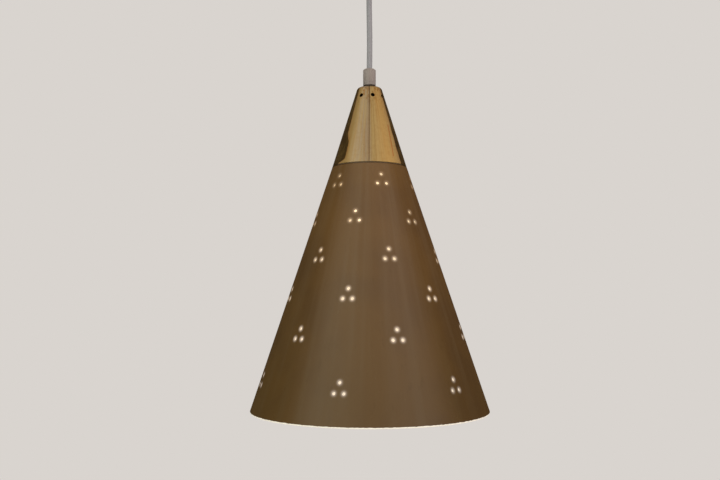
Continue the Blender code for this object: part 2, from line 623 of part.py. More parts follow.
def add_grip(nylon, steel, rubber, pivot):
    """The cord grip on top of the cap, its screw and the stretch of cord inside."""
    bore = CORD_BORE_RADIUS
    thread_top = -GRIP_HEIGHT + NIPPLE_IN_GRIP + SEAT_GAP
    profile = [
        (GRIP_RADIUS - GRIP_CHAMFER, 0),
        (GRIP_RADIUS, -GRIP_CHAMFER),
        (GRIP_RADIUS, -GRIP_HEIGHT),
        (NIPPLE_HOLE_RADIUS, -GRIP_HEIGHT),
        (NIPPLE_HOLE_RADIUS, thread_top),
        (bore, thread_top),
        (bore, 0),
    ]
    grip = turned("cord_grip", profile, GRIP_TOP_Z, nylon, pivot)
    screw_z = GRIP_TOP_Z - GRIP_JAW_HEIGHT / 2
    rod = [(Vector((0, GRIP_RADIUS, screw_z)), Vector((0, 1, 0)))]
    hole = rods_mesh(rod, GRIP_SCREW_RADIUS + SEAT_GAP, (GRIP_RADIUS - bore) * 2.4, SMALL_STEPS)
    cut(grip, add_cutter("grip_screw_hole", hole))
    add_grub_screw("grip_screw", GRIP_SCREW_RADIUS, bore, GRIP_RADIUS, screw_z, steel, pivot)
    top = GRIP_TOP_Z - SEAT_GAP
    bottom = NIPPLE_BOTTOM_Z - SEAT_GAP
    tail = [(0, 0, top + (bottom - top) * i / 4) for i in range(5)]
    wire("cord_tail", tail, CORD_DIAMETER, rubber, pivot)


def add_nipple_and_nuts(brass, steel, pivot):
    """The threaded tube that ties grip, cap and holder together, its washer and lock nut."""
    washer = tube_profile(WASHER_RADIUS, NIPPLE_HOLE_RADIUS, 0, -WASHER_THICKNESS)
    turned("cap_washer", washer, WASHER_TOP_Z, steel, pivot)
    tube = tube_profile(NIPPLE_RADIUS, NIPPLE_BORE_RADIUS, 0, NIPPLE_BOTTOM_Z - NIPPLE_TOP_Z)
    turned("threaded_nipple", tube, NIPPLE_TOP_Z, steel, pivot)
    corner = (NIPPLE_HOLE_RADIUS + LOCK_NUT_WALL) / math.cos(math.radians(30))
    upright = [(Vector(), Vector((0, 0, 1)))]
    middle = (0, 0, NUT_TOP_Z - LOCK_NUT_HEIGHT / 2)
    mesh = rods_mesh(upright, corner, LOCK_NUT_HEIGHT, 6)
    nut = add_piece("lock_nut", mesh, middle, brass, pivot)
    bore = rods_mesh(upright, NIPPLE_HOLE_RADIUS, LOCK_NUT_HEIGHT * 2, ROUND_STEPS)
    cut(nut, add_cutter("nut_bore", bore, middle))


def add_brass_cap(brass, pivot):
    """The brass cone above the shade, with its rounded shoulder and ring of vent holes."""
    lean = math.degrees(math.atan(CAP_SLOPE))
    tangent = CAP_SHOULDER_RADIUS * math.tan(math.radians(90 - lean) / 2)
    centre = (CAP_TOP_RADIUS - tangent, -CAP_SHOULDER_RADIUS)
    shoulder = arc(centre, CAP_SHOULDER_RADIUS, 90, lean)
    outer = [(NIPPLE_HOLE_RADIUS, 0)] + shoulder + [(NECK_RADIUS, -CAP_HEIGHT)]
    profile = shell_profile(outer, CAP_WALL)
    profile[len(outer)] = (NECK_RADIUS - CAP_INSET, -CAP_HEIGHT)
    cap = turned("brass_cap", profile, CAP_TOP_Z, brass, pivot, CONE_STEPS)
    radius = CAP_TOP_RADIUS + CAP_SLOPE * VENT_DROP
    rods = []
    for i in range(VENT_COUNT):
        out = front_direction(VENT_TURN + 360 * i / VENT_COUNT)
        normal = (out + Vector((0, 0, CAP_SLOPE))).normalized()
        rods.append((out * radius + Vector((0, 0, CAP_TOP_Z - VENT_DROP)), normal))
    vents = rods_mesh(rods, VENT_DIAMETER / 2, CAP_WALL * 5, VENT_SIDES)
    cut(cap, add_cutter("vent_holes", vents))


def add_joining_collar(brass, pivot):
    """The sleeve inside the joint of cap and shade, that holds them flush."""
    cap_inset = CAP_INSET + SEAT_GAP
    shade_inset = SHADE_INSET + SEAT_GAP
    outer = [
        (NECK_RADIUS - cap_inset - CAP_SLOPE * COLLAR_REACH, COLLAR_REACH),
        (NECK_RADIUS - max(cap_inset, shade_inset), 0),
        (NECK_RADIUS - shade_inset + SHADE_SLOPE * COLLAR_REACH, -COLLAR_REACH),
    ]
    turned("joining_collar", shell_profile(outer, COLLAR_WALL), JOINT_Z, brass, pivot, CONE_STEPS)


def shade_hole_rods():
    """The middle and direction of every hole, in rows of groups of three."""
    rows_height = SHADE_HEIGHT - HOLE_FIRST_ROW_DROP - HOLE_LAST_ROW_RISE - HOLE_GROUP_HEIGHT
    pitch = (rows_height - HOLE_LAST_ROW_EXTRA) / (HOLE_ROWS - 1)
    rods = []
    for row in range(HOLE_ROWS):
        top = HOLE_FIRST_ROW_DROP + pitch * row
        top += HOLE_LAST_ROW_EXTRA if row == HOLE_ROWS - 1 else 0
        turn = HOLE_ROW_TURN if row % 2 == 0 else -HOLE_ROW_TURN
        for group in range(HOLE_GROUPS_PER_ROW):
            middle = turn + 360 * group / HOLE_GROUPS_PER_ROW
            for drop, side in ((0, 0), (HOLE_GROUP_HEIGHT, -1), (HOLE_GROUP_HEIGHT, 1)):
                radius = NECK_RADIUS + SHADE_SLOPE * (top + drop)
                offset = math.degrees(HOLE_GROUP_WIDTH / 2 / radius)
                out = front_direction(middle + side * offset)
                normal = (out + Vector((0, 0, SHADE_SLOPE))).normalized()
                rods.append((out * radius + Vector((0, 0, JOINT_Z - top - drop)), normal))
    return rods


def add_shade(paint, pivot):
    """The painted cone and its pierced rows."""
    top = -SEAT_GAP
    neck = NECK_RADIUS + SHADE_SLOPE * SEAT_GAP
    profile = [
        (neck, top),
        (SHADE_RIM_RADIUS, -SHADE_HEIGHT),
        (SHADE_RIM_RADIUS - SHADE_INSET, -SHADE_HEIGHT),
        (neck - SHADE_INSET, top),
    ]
    shade = turned("shade", profile, JOINT_Z, paint, pivot, CONE_STEPS)
    holes = rods_mesh(shade_hole_rods(), HOLE_DIAMETER / 2, SHADE_WALL * 6, HOLE_SIDES)
    cut(shade, add_cutter("shade_holes", holes))


def add_holder(bakelite, pivot):
    """The bulb holder's domed cap and its barrel, which meet at the skirt."""
    skirt = -HOLDER_SKIRT_HEIGHT
    boss_top = HOLDER_HEAD_HEIGHT
    lean = HOLDER_RADIUS - HOLDER_BOSS_RADIUS
    quarter = arc((0, 0), 1, 90, 0)
    dome = [(HOLDER_BOSS_RADIUS + lean * x, HOLDER_DOME_HEIGHT * y) for x, y in quarter]
    hollow_radius = HOLDER_RADIUS - HOLDER_WALL
    hollow_height = HOLDER_DOME_HEIGHT - HOLDER_WALL
    hollow = [(hollow_radius * x, hollow_height * y) for x, y in arc((0, 0), 1, 0, 90)]
    hole = NIPPLE_HOLE_RADIUS
    hollow = [(x, y) for x, y in hollow if x > hole * 1.2]
    mouth = hollow_height * math.sqrt(1 - (hole / hollow_radius) ** 2)
    profile = [(HOLDER_BOSS_RADIUS, boss_top)] + dome + [(HOLDER_RADIUS, skirt), (hollow_radius, skirt)]
    profile += hollow + [(hole, mouth), (hole, boss_top)]
    turned("holder_cap", profile, SHOULDER_Z, bakelite, pivot)

    spigot = hollow_radius - SEAT_GAP
    bottom = BARREL_BOTTOM_Z - BARREL_TOP_Z
    barrel = [
        (spigot, HOLDER_SPIGOT_HEIGHT),
        (spigot, 0),
        (HOLDER_RADIUS, 0),
        (HOLDER_RADIUS, bottom),
        (BARREL_BORE_RADIUS, bottom),
        (BARREL_BORE_RADIUS, HOLDER_SPIGOT_HEIGHT),
    ]
    turned("holder_barrel", barrel, BARREL_TOP_Z, bakelite, pivot)


def add_holder_insert(porcelain, brass, pivot):
    """The porcelain insert in the holder, its two terminal screws and the middle contact."""
    radius = BARREL_BORE_RADIUS - SEAT_GAP
    disc = [(0, 0), (radius, 0), (radius, -INSERT_HEIGHT), (0, -INSERT_HEIGHT)]
    insert = turned("holder_insert", disc, INSERT_TOP_Z, porcelain, pivot, closed=False)
    hole_depth = TERMINAL_SHANK_LENGTH + SEAT_GAP
    spots = {"live": -1, "neutral": 1}
    middle_z = INSERT_TOP_Z - hole_depth / 2 + hole_depth
    rods = [(Vector((side * TERMINAL_SPREAD, 0, middle_z)), Vector((0, 0, 1))) for side in spots.values()]
    holes = rods_mesh(rods, TERMINAL_SHANK_RADIUS + SEAT_GAP, hole_depth * 3, SMALL_STEPS)
    cut(insert, add_cutter("terminal_holes", holes))
    screw = [
        (0, TERMINAL_HEAD_HEIGHT),
        (TERMINAL_HEAD_RADIUS, TERMINAL_HEAD_HEIGHT),
        (TERMINAL_HEAD_RADIUS, 0),
        (TERMINAL_SHANK_RADIUS, 0),
        (TERMINAL_SHANK_RADIUS, -TERMINAL_SHANK_LENGTH),
        (0, -TERMINAL_SHANK_LENGTH),
    ]
    for word, side in spots.items():
        at = (side * TERMINAL_SPREAD, 0, INSERT_TOP_Z + SEAT_GAP)
        mesh = turned_mesh(screw, SMALL_STEPS, closed=False)
        add_piece("terminal_screw_" + word, mesh, at, brass, pivot)
    top = INSERT_BOTTOM_Z - SEAT_GAP
    contact = [(0, 0), (CONTACT_RADIUS, 0), (CONTACT_RADIUS, -CONTACT_THICKNESS), (0, -CONTACT_THICKNESS)]
    turned("centre_contact", contact, top, brass, pivot, SMALL_STEPS, closed=False)


def add_lower_cores(materials, pivot):
    """The two cores from the end of the cord inside the holder to its terminals."""
    for (word, side), material in zip({"live": -1, "neutral": 1}.items(), materials):
        start = Vector((side * CORE_SPREAD, 0, NIPPLE_BOTTOM_Z - SEAT_GAP * 2))
        head_top = INSERT_TOP_Z + SEAT_GAP + TERMINAL_HEAD_HEIGHT
        end = Vector((side * TERMINAL_SPREAD, 0, head_top + SEAT_GAP))
        ease = (start.z - end.z) * 0.45
        bend = interpolate_bezier(start, start - Vector((0, 0, ease)), end + Vector((0, 0, ease)), end, 10)
        wire("lower_core_" + word, bend, CORE_DIAMETER, material, pivot)


def threaded_mesh(radius, wall, top, bottom, thread_top, turns, plain, lip=None):
    """A thin tube with a rounded screw thread rolled in below thread_top, turned in at a lip.

    Its plain ends are set out from the middle of the thread by plain.
    """
    row = THREAD_PITCH / THREAD_ROWS_PER_TURN
    count = min(turns * THREAD_ROWS_PER_TURN, int((thread_top - bottom) / row))
    thread_end = thread_top - row * count
    rows = [(radius + plain, thread_top)]
    rows += [(radius, thread_top - row * i) for i in range(1, count)]
    rows += [(radius + plain, thread_end), (radius + plain, bottom)]
    outside = [(r + wall / 2, z) for r, z in rows]
    inside = [(r - wall / 2, z) for r, z in reversed(rows)]
    if lip:
        outside = [(lip, top)] + outside
        inside += [(lip, top - wall)]
    else:
        outside = [(radius + plain + wall / 2, top)] + outside
        inside += [(radius + plain - wall / 2, top)]
    mesh = turned_mesh(outside + inside, ROUND_STEPS)
    for vertex in mesh.vertices:
        x, y, z = vertex.co
        if thread_end + row / 2 < z < thread_top - row / 2:
            wave = math.cos(2 * math.pi * z / THREAD_PITCH - math.atan2(y, x))
            scale = 1 + wave * THREAD_DEPTH / 2 / math.hypot(x, y)
            vertex.co = (x * scale, y * scale, z)
    return mesh


def add_socket(brass, pivot):
    """The threaded shell in the holder that takes the bulb."""
    top = INSERT_BOTTOM_Z - SEAT_GAP
    bottom = top - SOCKET_HEIGHT
    thread_top = bottom + THREAD_PITCH * (SOCKET_THREAD_TURNS + 0.25)
    radius = SOCKET_RADIUS + SOCKET_WALL / 2
    plain = THREAD_DEPTH / 2
    mesh = threaded_mesh(radius, SOCKET_WALL, top, bottom, thread_top, SOCKET_THREAD_TURNS, plain)
    settle(add_piece("socket_shell", mesh, (0, 0, 0), brass, pivot))


def add_bulb_base(brass, tin, black_glass, travel, turn):
    """The bulb's contact, its black glass insulator and its threaded base."""
    round_part = BULB_TIP_HEIGHT * 0.6
    quarter = arc((0, 0), 1, 90, 0, 30)
    dome = [(BULB_TIP_RADIUS * x, -round_part + round_part * y) for x, y in quarter]
    dome[0] = (0, 0)
    tip = dome + [(BULB_TIP_RADIUS, -BULB_TIP_HEIGHT), (0, -BULB_TIP_HEIGHT)]
    turned("bulb_tip", tip, BULB_TOP_Z, tin, travel, closed=False)
    insulator_z = BULB_TOP_Z - BULB_TIP_HEIGHT - SEAT_GAP
    insulator = [
        (0, 0),
        (BULB_TIP_RADIUS, 0),
        (BULB_INSULATOR_RADIUS, -BULB_INSULATOR_HEIGHT),
        (0, -BULB_INSULATOR_HEIGHT),
    ]
    turned("bulb_insulator", insulator, insulator_z, black_glass, turn, closed=False)
    top = insulator_z - BULB_INSULATOR_HEIGHT - SEAT_GAP
    bottom = BULB_TOP_Z - BULB_BASE_LENGTH
    radius = THREAD_RADIUS - BULB_BASE_WALL / 2
    lip = BULB_INSULATOR_RADIUS - BULB_LIP_WIDTH
    thread_top = top - BULB_BASE_WALL * 3
    plain = -THREAD_DEPTH / 2
    mesh = threaded_mesh(radius, BULB_BASE_WALL, top, bottom, thread_top, BULB_THREAD_TURNS, plain, lip)
    settle(add_piece("bulb_base", mesh, (0, 0, 0), brass, turn))


def bulb_glass_profile():
    """The outer line of the glass from the base's end down to the middle of its round end."""
    centre = -BULB_LENGTH + BULB_RADIUS
    rise = min((-BULB_BASE_LENGTH - centre) * 0.4, BULB_RADIUS * 0.8)
    latitude = math.degrees(math.asin(rise / BULB_RADIUS))
    ball = arc((0, centre), BULB_RADIUS, latitude, -90, BULB_ARC_STEP)
    ball[-1] = (0, -BULB_LENGTH)
    join = Vector((*ball[0], 0))
    along = Vector((math.sin(math.radians(latitude)), -math.cos(math.radians(latitude)), 0))
    neck = Vector((BULB_NECK_RADIUS, -BULB_BASE_LENGTH, 0))
    ease = (neck.y - join.y) / 3
    bend = interpolate_bezier(neck, neck - Vector((0, ease, 0)), join - along * ease, join, 6)
    return [(p.x, p.y) for p in bend[:-1]] + ball


def add_bulb_glass(glass, turn):
    """The frosted glass envelope, open at its neck inside the base."""
    neck_top = -BULB_BASE_LENGTH + BULB_NECK_IN_BASE
    outer = [(BULB_NECK_RADIUS, neck_top)] + bulb_glass_profile()
    profile = shell_profile(outer, BULB_GLASS_WALL)
    profile[len(outer)] = (0, -BULB_LENGTH + BULB_GLASS_WALL)
    profile = profile[len(outer) :] + profile[: len(outer)]
    turned("bulb_glass", profile, BULB_TOP_Z, glass, turn, closed=False)


def add_bulb_inside(glass, tungsten, nickel, turn):
    """The glass stem in the bulb's neck, its two lead wires and the filament between them."""
    top = -BULB_BASE_LENGTH + BULB_NECK_IN_BASE
    flare = BULB_NECK_RADIUS - BULB_GLASS_WALL - SEAT_GAP
    stem = [
        (0, top),
        (flare, top),
        (flare, top - BULB_GLASS_WALL * 2),
        (STEM_RADIUS, top - flare),
        (STEM_RADIUS, top - STEM_LENGTH),
        (0, top - STEM_LENGTH),
    ]
    turned("bulb_stem", stem, BULB_TOP_Z, glass, turn, SMALL_STEPS, closed=False)

    stem_end = BULB_TOP_Z + top - STEM_LENGTH - SEAT_GAP
    filament_z = BULB_TOP_Z - FILAMENT_DROP
    ease = Vector((0, 0, (stem_end - filament_z) / 4))
    for number, side in enumerate((-1, 1), 1):
        foot = Vector((side * STEM_RADIUS * 0.6, 0, stem_end))
        tip = Vector((side * (FILAMENT_SPREAD + LEAD_WIRE / 2), 0, filament_z - LEAD_WIRE))
        line = interpolate_bezier(foot, foot - ease, tip + ease, tip, 6)
        wire("lead_wire_%d" % number, line, LEAD_WIRE, nickel, turn)
    reach = FILAMENT_SPREAD - SEAT_GAP
    spots = [i / 4 for i in range(-4, 5)]
    line = [(reach * t, 0, filament_z - FILAMENT_SAG * (1 - t * t)) for t in spots]
    wire("filament", line, FILAMENT_WIRE, tungsten, turn)


def main():
    clear_scene()
    steel = make_material("zinc_plated_steel", "#a9abad", 0.35, 1.0)
    brass = make_material("aged_brass", "#b08d52", 0.35, 1.0)
    paint = make_material("olive_brown_paint", "#7a6842", 0.38)
    grip_nylon = make_material("ivory_nylon", "#b9b0a0", 0.45)
    white_plastic = make_material("white_plastic", "#e9e7e2", 0.35)
    pvc = make_material("white_pvc", "#dcd8d6", 0.45)
    brown_core = make_material("brown_core", "#6a3b22", 0.5)
    blue_core = make_material("blue_core", "#2b59a8", 0.5)
    bakelite = make_material("black_bakelite", "#1d1a18", 0.3)
    porcelain = make_material("white_porcelain", "#efece4", 0.2)
    tin = make_material("solder", "#b8b8b6", 0.4, 1.0)
    black_glass = make_material("black_glass", "#141416", 0.15)
    frosted = make_material("frosted_glass", "#f4efe2", 0.5)
    tungsten = make_material("tungsten", "#55524e", 0.5, 1.0)
    nickel = make_material("nickel", "#a8a49c", 0.4, 1.0)

    ring_pivot = add_pivot("ring_pivot", RING_PIVOT_Z)
    hanger_pivot = add_pivot("hanger_pivot", HANGER_PIVOT_Z, ring_pivot)
    cup_slide = add_pivot("cup_slide", CUP_OUTLET_Z, hanger_pivot)
    lamp_twist = add_pivot("lamp_twist", GRIP_TOP_Z, hanger_pivot)
    bulb_travel = add_pivot("bulb_travel", BULB_TOP_Z, lamp_twist)
    bulb_turn = add_pivot("bulb_turn", BULB_TOP_Z, bulb_travel)

    add_ceiling_fixing(steel)
    add_suspension_ring(steel, ring_pivot)
    add_hanger(steel, hanger_pivot)
    add_saddle(white_plastic, steel, hanger_pivot)
    add_terminal_block(white_plastic, brass, steel, hanger_pivot)
    add_upper_cores((brown_core, blue_core), hanger_pivot)
    add_cord(pvc, hanger_pivot)
    add_ceiling_cup(white_plastic, steel, cup_slide)
    add_grip(grip_nylon, steel, pvc, lamp_twist)
    add_nipple_and_nuts(brass, steel, lamp_twist)
    add_brass_cap(brass, lamp_twist)
    add_joining_collar(brass, lamp_twist)
    add_shade(paint, lamp_twist)
    add_holder(bakelite, lamp_twist)
    add_holder_insert(porcelain, brass, lamp_twist)
    add_lower_cores((brown_core, blue_core), lamp_twist)
    add_socket(brass, lamp_twist)
    add_bulb_base(brass, tin, black_glass, bulb_travel, bulb_turn)
    add_bulb_glass(frosted, bulb_turn)
    add_bulb_inside(frosted, tungsten, nickel, bulb_turn)


main()
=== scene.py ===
"""Pendant ceiling lamp: a pierced, painted cone under a cone of aged brass, lit from inside."""

import math
from functools import partial

import bmesh
import bpy
from bpy.props import FloatProperty, IntProperty, PointerProperty, StringProperty
from mathutils import Matrix, Vector
from mathutils.geometry import interpolate_bezier


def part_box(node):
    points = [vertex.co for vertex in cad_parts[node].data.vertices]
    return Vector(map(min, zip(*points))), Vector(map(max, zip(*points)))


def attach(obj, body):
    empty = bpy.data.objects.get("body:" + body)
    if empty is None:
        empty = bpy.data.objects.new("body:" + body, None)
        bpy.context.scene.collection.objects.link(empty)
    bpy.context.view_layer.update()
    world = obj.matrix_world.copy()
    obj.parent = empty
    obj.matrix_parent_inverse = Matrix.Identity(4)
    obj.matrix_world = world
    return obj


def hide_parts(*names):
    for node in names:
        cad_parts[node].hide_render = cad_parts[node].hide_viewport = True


bl_info = {
    "name": "Pierced Cone Pendant Lamp",
    "version": (1, 0, 0),
    "blender": (4, 5, 0),
    "location": "3D View > Sidebar > Lamp",
    "description": "Models and finishes a pierced cone pendant lamp piece by piece",
    "category": "Object",
}

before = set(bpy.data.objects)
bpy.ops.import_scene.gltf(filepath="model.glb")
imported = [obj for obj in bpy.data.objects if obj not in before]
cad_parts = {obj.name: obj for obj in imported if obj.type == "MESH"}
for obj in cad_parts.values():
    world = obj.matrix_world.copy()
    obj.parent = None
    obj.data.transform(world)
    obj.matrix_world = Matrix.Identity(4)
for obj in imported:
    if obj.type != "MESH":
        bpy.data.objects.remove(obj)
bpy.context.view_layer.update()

MM = 0.001
GAP = 0.3 * MM  # clearance that the lamp's pieces keep where they touch
SAME_PLACE = 0.002 * MM  # points closer than this are merged
THROUGH = 30 * MM  # a drill this long goes right through any small piece
SCREW_HOLE = 1.55 * MM  # radius of the holes for the hanger's screws
DRILL_SIDES, ROUND_SIDES, SHEET_SIDES = 48, 96, 288  # sides of drills, pieces and large cones
UP = Vector((0, 0, 1))
ACROSS = Vector((1, 0, 0))
TO_BACK = Vector((0, 1, 0))
SHADE_LOW, SHADE_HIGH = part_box("shade")
CAP_LOW, CAP_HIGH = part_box("brass_cap")
GRIP_LOW, GRIP_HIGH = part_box("cord_grip")
WASHER_LOW, WASHER_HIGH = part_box("cap_washer")
CORD_LOW, CORD_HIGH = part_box("cord")
CUP_LOW, CUP_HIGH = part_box("ceiling_cup")
BULB_LOW, BULB_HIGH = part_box("bulb_glass")
SHADE_MIDDLE, CAP_MIDDLE = 82, 27  # radius about halfway down, in mm, where marks are sized


def size(name, description, default):
    """A length property in metres."""
    return FloatProperty(
        name=name, description=description, default=default, unit="LENGTH", precision=5
    )


def amount(name, description, default):
    """A plain number, such as degrees or brightness."""
    return FloatProperty(name=name, description=description, default=default)


def number(name, description, default):
    """How many there are, two or more."""
    return IntProperty(name=name, description=description, default=default, min=2)


def tint(name, description, default):
    """A colour property, written as an sRGB hex value."""
    return StringProperty(name=name, description=description, default=default)


class ShadeSettings(bpy.types.PropertyGroup):
    """The painted cone and its holes."""

    rim_radius: size("Rim radius", "Outer radius at the open end", SHADE_HIGH.x)
    neck_radius: size("Neck radius", "Outer radius where it meets the brass", CAP_HIGH.x)
    height: size("Height", "From the rim up to the brass", CAP_LOW.z - SHADE_LOW.z)
    wall: size("Wall", "Thickness of the sheet", 1.0 * MM)
    bead: size("Rim bead", "Radius of the rolled edge", 0.95 * MM)
    hole_diameter: size("Hole diameter", "Diameter of each punched hole", 3.0 * MM)
    group_width: size("Group width", "Between the two lower holes of a group", 9.6 * MM)
    group_height: size("Group height", "From a group's upper hole to the lower ones", 9.8 * MM)
    first_row_drop: size("First row", "From the brass down to the first row", 13.3 * MM)
    last_row_rise: size("Last row", "From the rim up to the last row", 30.1 * MM)
    last_row_extra: size("Last row's extra", "How much farther the last row is set", 9.0 * MM)
    rows: number("Rows", "Rows of groups", 6)
    groups: number("Groups", "Groups in each row", 6)
    row_turn: amount("Row turn", "Degrees a row is turned", 15.0)
    paint: tint("Paint", "Olive-brown paint", "#735534")
    enamel: tint("Enamel", "White enamel inside", "#efe8da")


class BrassSettings(bpy.types.PropertyGroup):
    """The brass cone with its seam and vents."""

    top_radius: size("Top radius", "Where the cone would meet the flat top", 12.8 * MM)
    shoulder: size("Shoulder", "Radius of the rounded shoulder", 4.0 * MM)
    wall: size("Wall", "Thickness of the sheet", 1.0 * MM)
    bore: size("Bore", "Radius of the hole for the nipple", 5.3 * MM)
    vent_diameter: size("Vent diameter", "Diameter of each vent", 4.4 * MM)
    vent_drop: size("Vent drop", "From the top down to the vents", 11.1 * MM)
    vents: number("Vents", "Number of vents", 8)
    vent_turn: amount("Vent turn", "Degrees right of the front", 12.0)
    seam_turn: amount("Seam turn", "Degrees right of the front", -1.25)
    brass: tint("Brass", "Polished brass with an old lacquer", "#bb9e6a")
    pale: tint("Pale brass", "Where the lacquer is milky", "#a08a6f")
    # Colour of the painted reflection of a dark room on the brass's sides
    dark_reflection_tint: tint("Tarnish", "Brown-olive patina", "#43321b")


class CordSettings(bpy.types.PropertyGroup):
    """The cord, its grip and the washer below the grip."""

    diameter: size("Cord diameter", "Across the sheath", 6.0 * MM)
    grip_radius: size("Grip radius", "Outer radius of the grip", GRIP_HIGH.x)
    grip_chamfer: size("Grip chamfer", "Chamfer round the grip's top", 1.2 * MM)
    screw_radius: size("Grub screw", "Radius of the grip's screw", 1.6 * MM)
    sheath: tint("Sheath", "Greyish white PVC", "#9e9ba1")
    nylon: tint("Nylon", "Ivory nylon", "#998c87")


class BulbSettings(bpy.types.PropertyGroup):
    """The bulb and its holder."""

    radius: size("Bulb radius", "Radius of the round part", BULB_HIGH.x)
    thread_pitch: size("Thread pitch", "Rise of the thread in one turn", 3.62 * MM)
    thread_radius: size("Thread radius", "Middle of the bulb's thread", 12.65 * MM)
    thread_depth: size("Thread depth", "From crest to root", 0.9 * MM)
    glow: amount("Glow", "Brightness of the lit glass", 0.75)
    light: tint("Light", "Colour of the lit bulb", "#ffe7c4")
    bakelite: tint("Bakelite", "Black moulded holder", "#201c1a")


class CeilingSettings(bpy.types.PropertyGroup):
    """The ceiling cup and what it hides."""

    cup_wall: size("Cup wall", "Thickness of the cup", 1.6 * MM)
    bowl_depth: size("Bowl depth", "Height of the cup's rounded part", 27.0 * MM)
    collar_height: size("Collar height", "Height of the cup's outlet", 7.4 * MM)
    collar_radius: size("Collar radius", "Outer radius of the outlet", 7.2 * MM)
    plastic: tint("Plastic", "White moulded plastic", "#e6e3dc")
    steel: tint("Steel", "Zinc-plated steel", "#aeb0b2")


class StageSettings(bpy.types.PropertyGroup):
    """Camera, floor, background and lights."""

    lens: amount("Lens", "Focal length in millimetres", 40.595)
    distance: size("Distance", "From the camera to the lamp's axis", 862.8 * MM)
    camera_rise: size("Camera rise", "Camera above the rim", 115.9 * MM)
    camera_side: size("Camera side", "Camera to the right of the axis", -10.2 * MM)
    pitch: amount("Pitch", "Degrees the camera looks up", 4.21)
    floor_drop: size("Floor drop", "Floor below the rim", 1.05)
    background: tint("Background", "Pale background", "#d9d4cf")
    floor: tint("Floor", "Pale floor", "#e2ddd7")


GROUPS = {
    "lamp_shade": ShadeSettings,
    "lamp_brass": BrassSettings,
    "lamp_cord": CordSettings,
    "lamp_bulb": BulbSettings,
    "lamp_ceiling": CeilingSettings,
    "lamp_stage": StageSettings,
}


# Modelling helpers


def deselect_all():
    """Select nothing, because an operator acts on all that is selected."""
    bpy.ops.object.select_all(action="DESELECT")


def make_active(piece):
    """Select one piece alone and make it active."""
    deselect_all()
    piece.select_set(True)
    bpy.context.view_layer.objects.active = piece


def named(name):
    """Name the primitive that was just added and put its place in its mesh."""
    piece = bpy.context.object
    piece.name = name
    piece.data.name = name
    bpy.ops.object.transform_apply(location=True, rotation=True, scale=True)
    return piece


def apply_modifier(piece, kind, **settings):
    """Add a modifier and apply it."""
    make_active(piece)
    modifier = piece.modifiers.new(kind.title(), kind)
    for name, value in settings.items():
        setattr(modifier, name, value)
    bpy.ops.object.modifier_apply(modifier=modifier.name)


def soften(piece, width, segments=2, angle=40):
    """Round a piece's edges that are sharper than the angle."""
    limit = {"limit_method": "ANGLE", "angle_limit": math.radians(angle)}
    apply_modifier(piece, "BEVEL", width=width, segments=segments, **limit)


def combine(piece, other, operation):
    """Cut another shape out of a piece or unite them, and remove the other."""
    apply_modifier(piece, "BOOLEAN", object=other, operation=operation, solver="EXACT")
    bpy.data.objects.remove(other)


def cut(piece, cutter):
    """Cut a shape out of a piece."""
    combine(piece, cutter, "DIFFERENCE")


def oval(middle, width, height, start, end, count):
    """Points on part of an oval by its two radii, both ends included, with angles in degrees."""
    angles = [math.radians(start + (end - start) * i / count) for i in range(count + 1)]
    return [(middle[0] + width * math.cos(a), middle[1] + height * math.sin(a)) for a in angles]


def arc(middle, radius, *sweep):
    """Points on part of a circle."""
    return oval(middle, radius, radius, *sweep)


def tidy_mesh():
    """Merge the doubles of the mesh in edit mode, turn its faces outwards and leave edit mode."""
    bpy.ops.mesh.select_all(action="SELECT")
    bpy.ops.mesh.remove_doubles(threshold=SAME_PLACE)
    bpy.ops.mesh.normals_make_consistent(inside=False)
    bpy.ops.object.mode_set(mode="OBJECT")


def turn(name, profile, steps=ROUND_SIDES, closed=True):
    """Turn a piece on the lamp's axis ring by ring, from a profile of (radius, height) points.

    A closed profile runs back to its first ring. An open one has a flat top and ends on the axis.
    """
    deselect_all()
    radius, height = profile[0]
    bpy.ops.mesh.primitive_circle_add(vertices=steps, radius=radius, location=(0, 0, height))
    piece = named(name)
    bpy.ops.object.mode_set(mode="EDIT")
    bpy.ops.mesh.select_all(action="SELECT")
    if not closed:
        bpy.ops.mesh.edge_face_add()
        bpy.ops.mesh.select_all(action="SELECT")
    for next_radius, next_height in profile[1:] + ([profile[0]] if closed else []):
        drop = (0, 0, next_height - height)
        bpy.ops.mesh.extrude_edges_move(TRANSFORM_OT_translate={"value": drop})
        if next_radius:
            ratio = next_radius / radius
            place = (0, 0, next_height)
            bpy.ops.transform.resize(value=(ratio, ratio, 1), center_override=place)
        else:
            bpy.ops.mesh.merge(type="CENTER")
        radius, height = next_radius, next_height
    tidy_mesh()
    return piece


def wire(name, points, diameter):
    """A round wire along points."""
    deselect_all()
    bpy.ops.curve.primitive_bezier_curve_add()
    piece = named(name)
    curve = piece.data
    curve.splines.clear()
    curve.dimensions = "3D"
    curve.bevel_depth = diameter / 2
    curve.bevel_resolution = 6
    curve.use_fill_caps = True
    spline = curve.splines.new("POLY")
    spline.points.add(len(points) - 1)
    for spot, point in zip(spline.points, points):
        spot.co = (*point, 1)
    return piece


def to_mesh(piece):
    """Turn a wire into a closed mesh."""
    make_active(piece)
    bpy.ops.object.convert(target="MESH")
    piece = bpy.context.object
    bpy.ops.object.mode_set(mode="EDIT")
    tidy_mesh()
    return piece


def rod(name, middle, direction, radius, length, sides=24):
    """A straight rod by its middle and direction."""
    deselect_all()
    bpy.ops.mesh.primitive_cylinder_add(
        vertices=sides,
        radius=radius,
        depth=length,
        location=middle,
        rotation=direction.to_track_quat("Z", "Y").to_euler(),
    )
    return named(name)


def block(name, low, high):
    """A box between two corners."""
    deselect_all()
    low, high = Vector(low), Vector(high)
    bpy.ops.mesh.primitive_cube_add(size=1, location=(low + high) / 2, scale=high - low)
    return named(name)


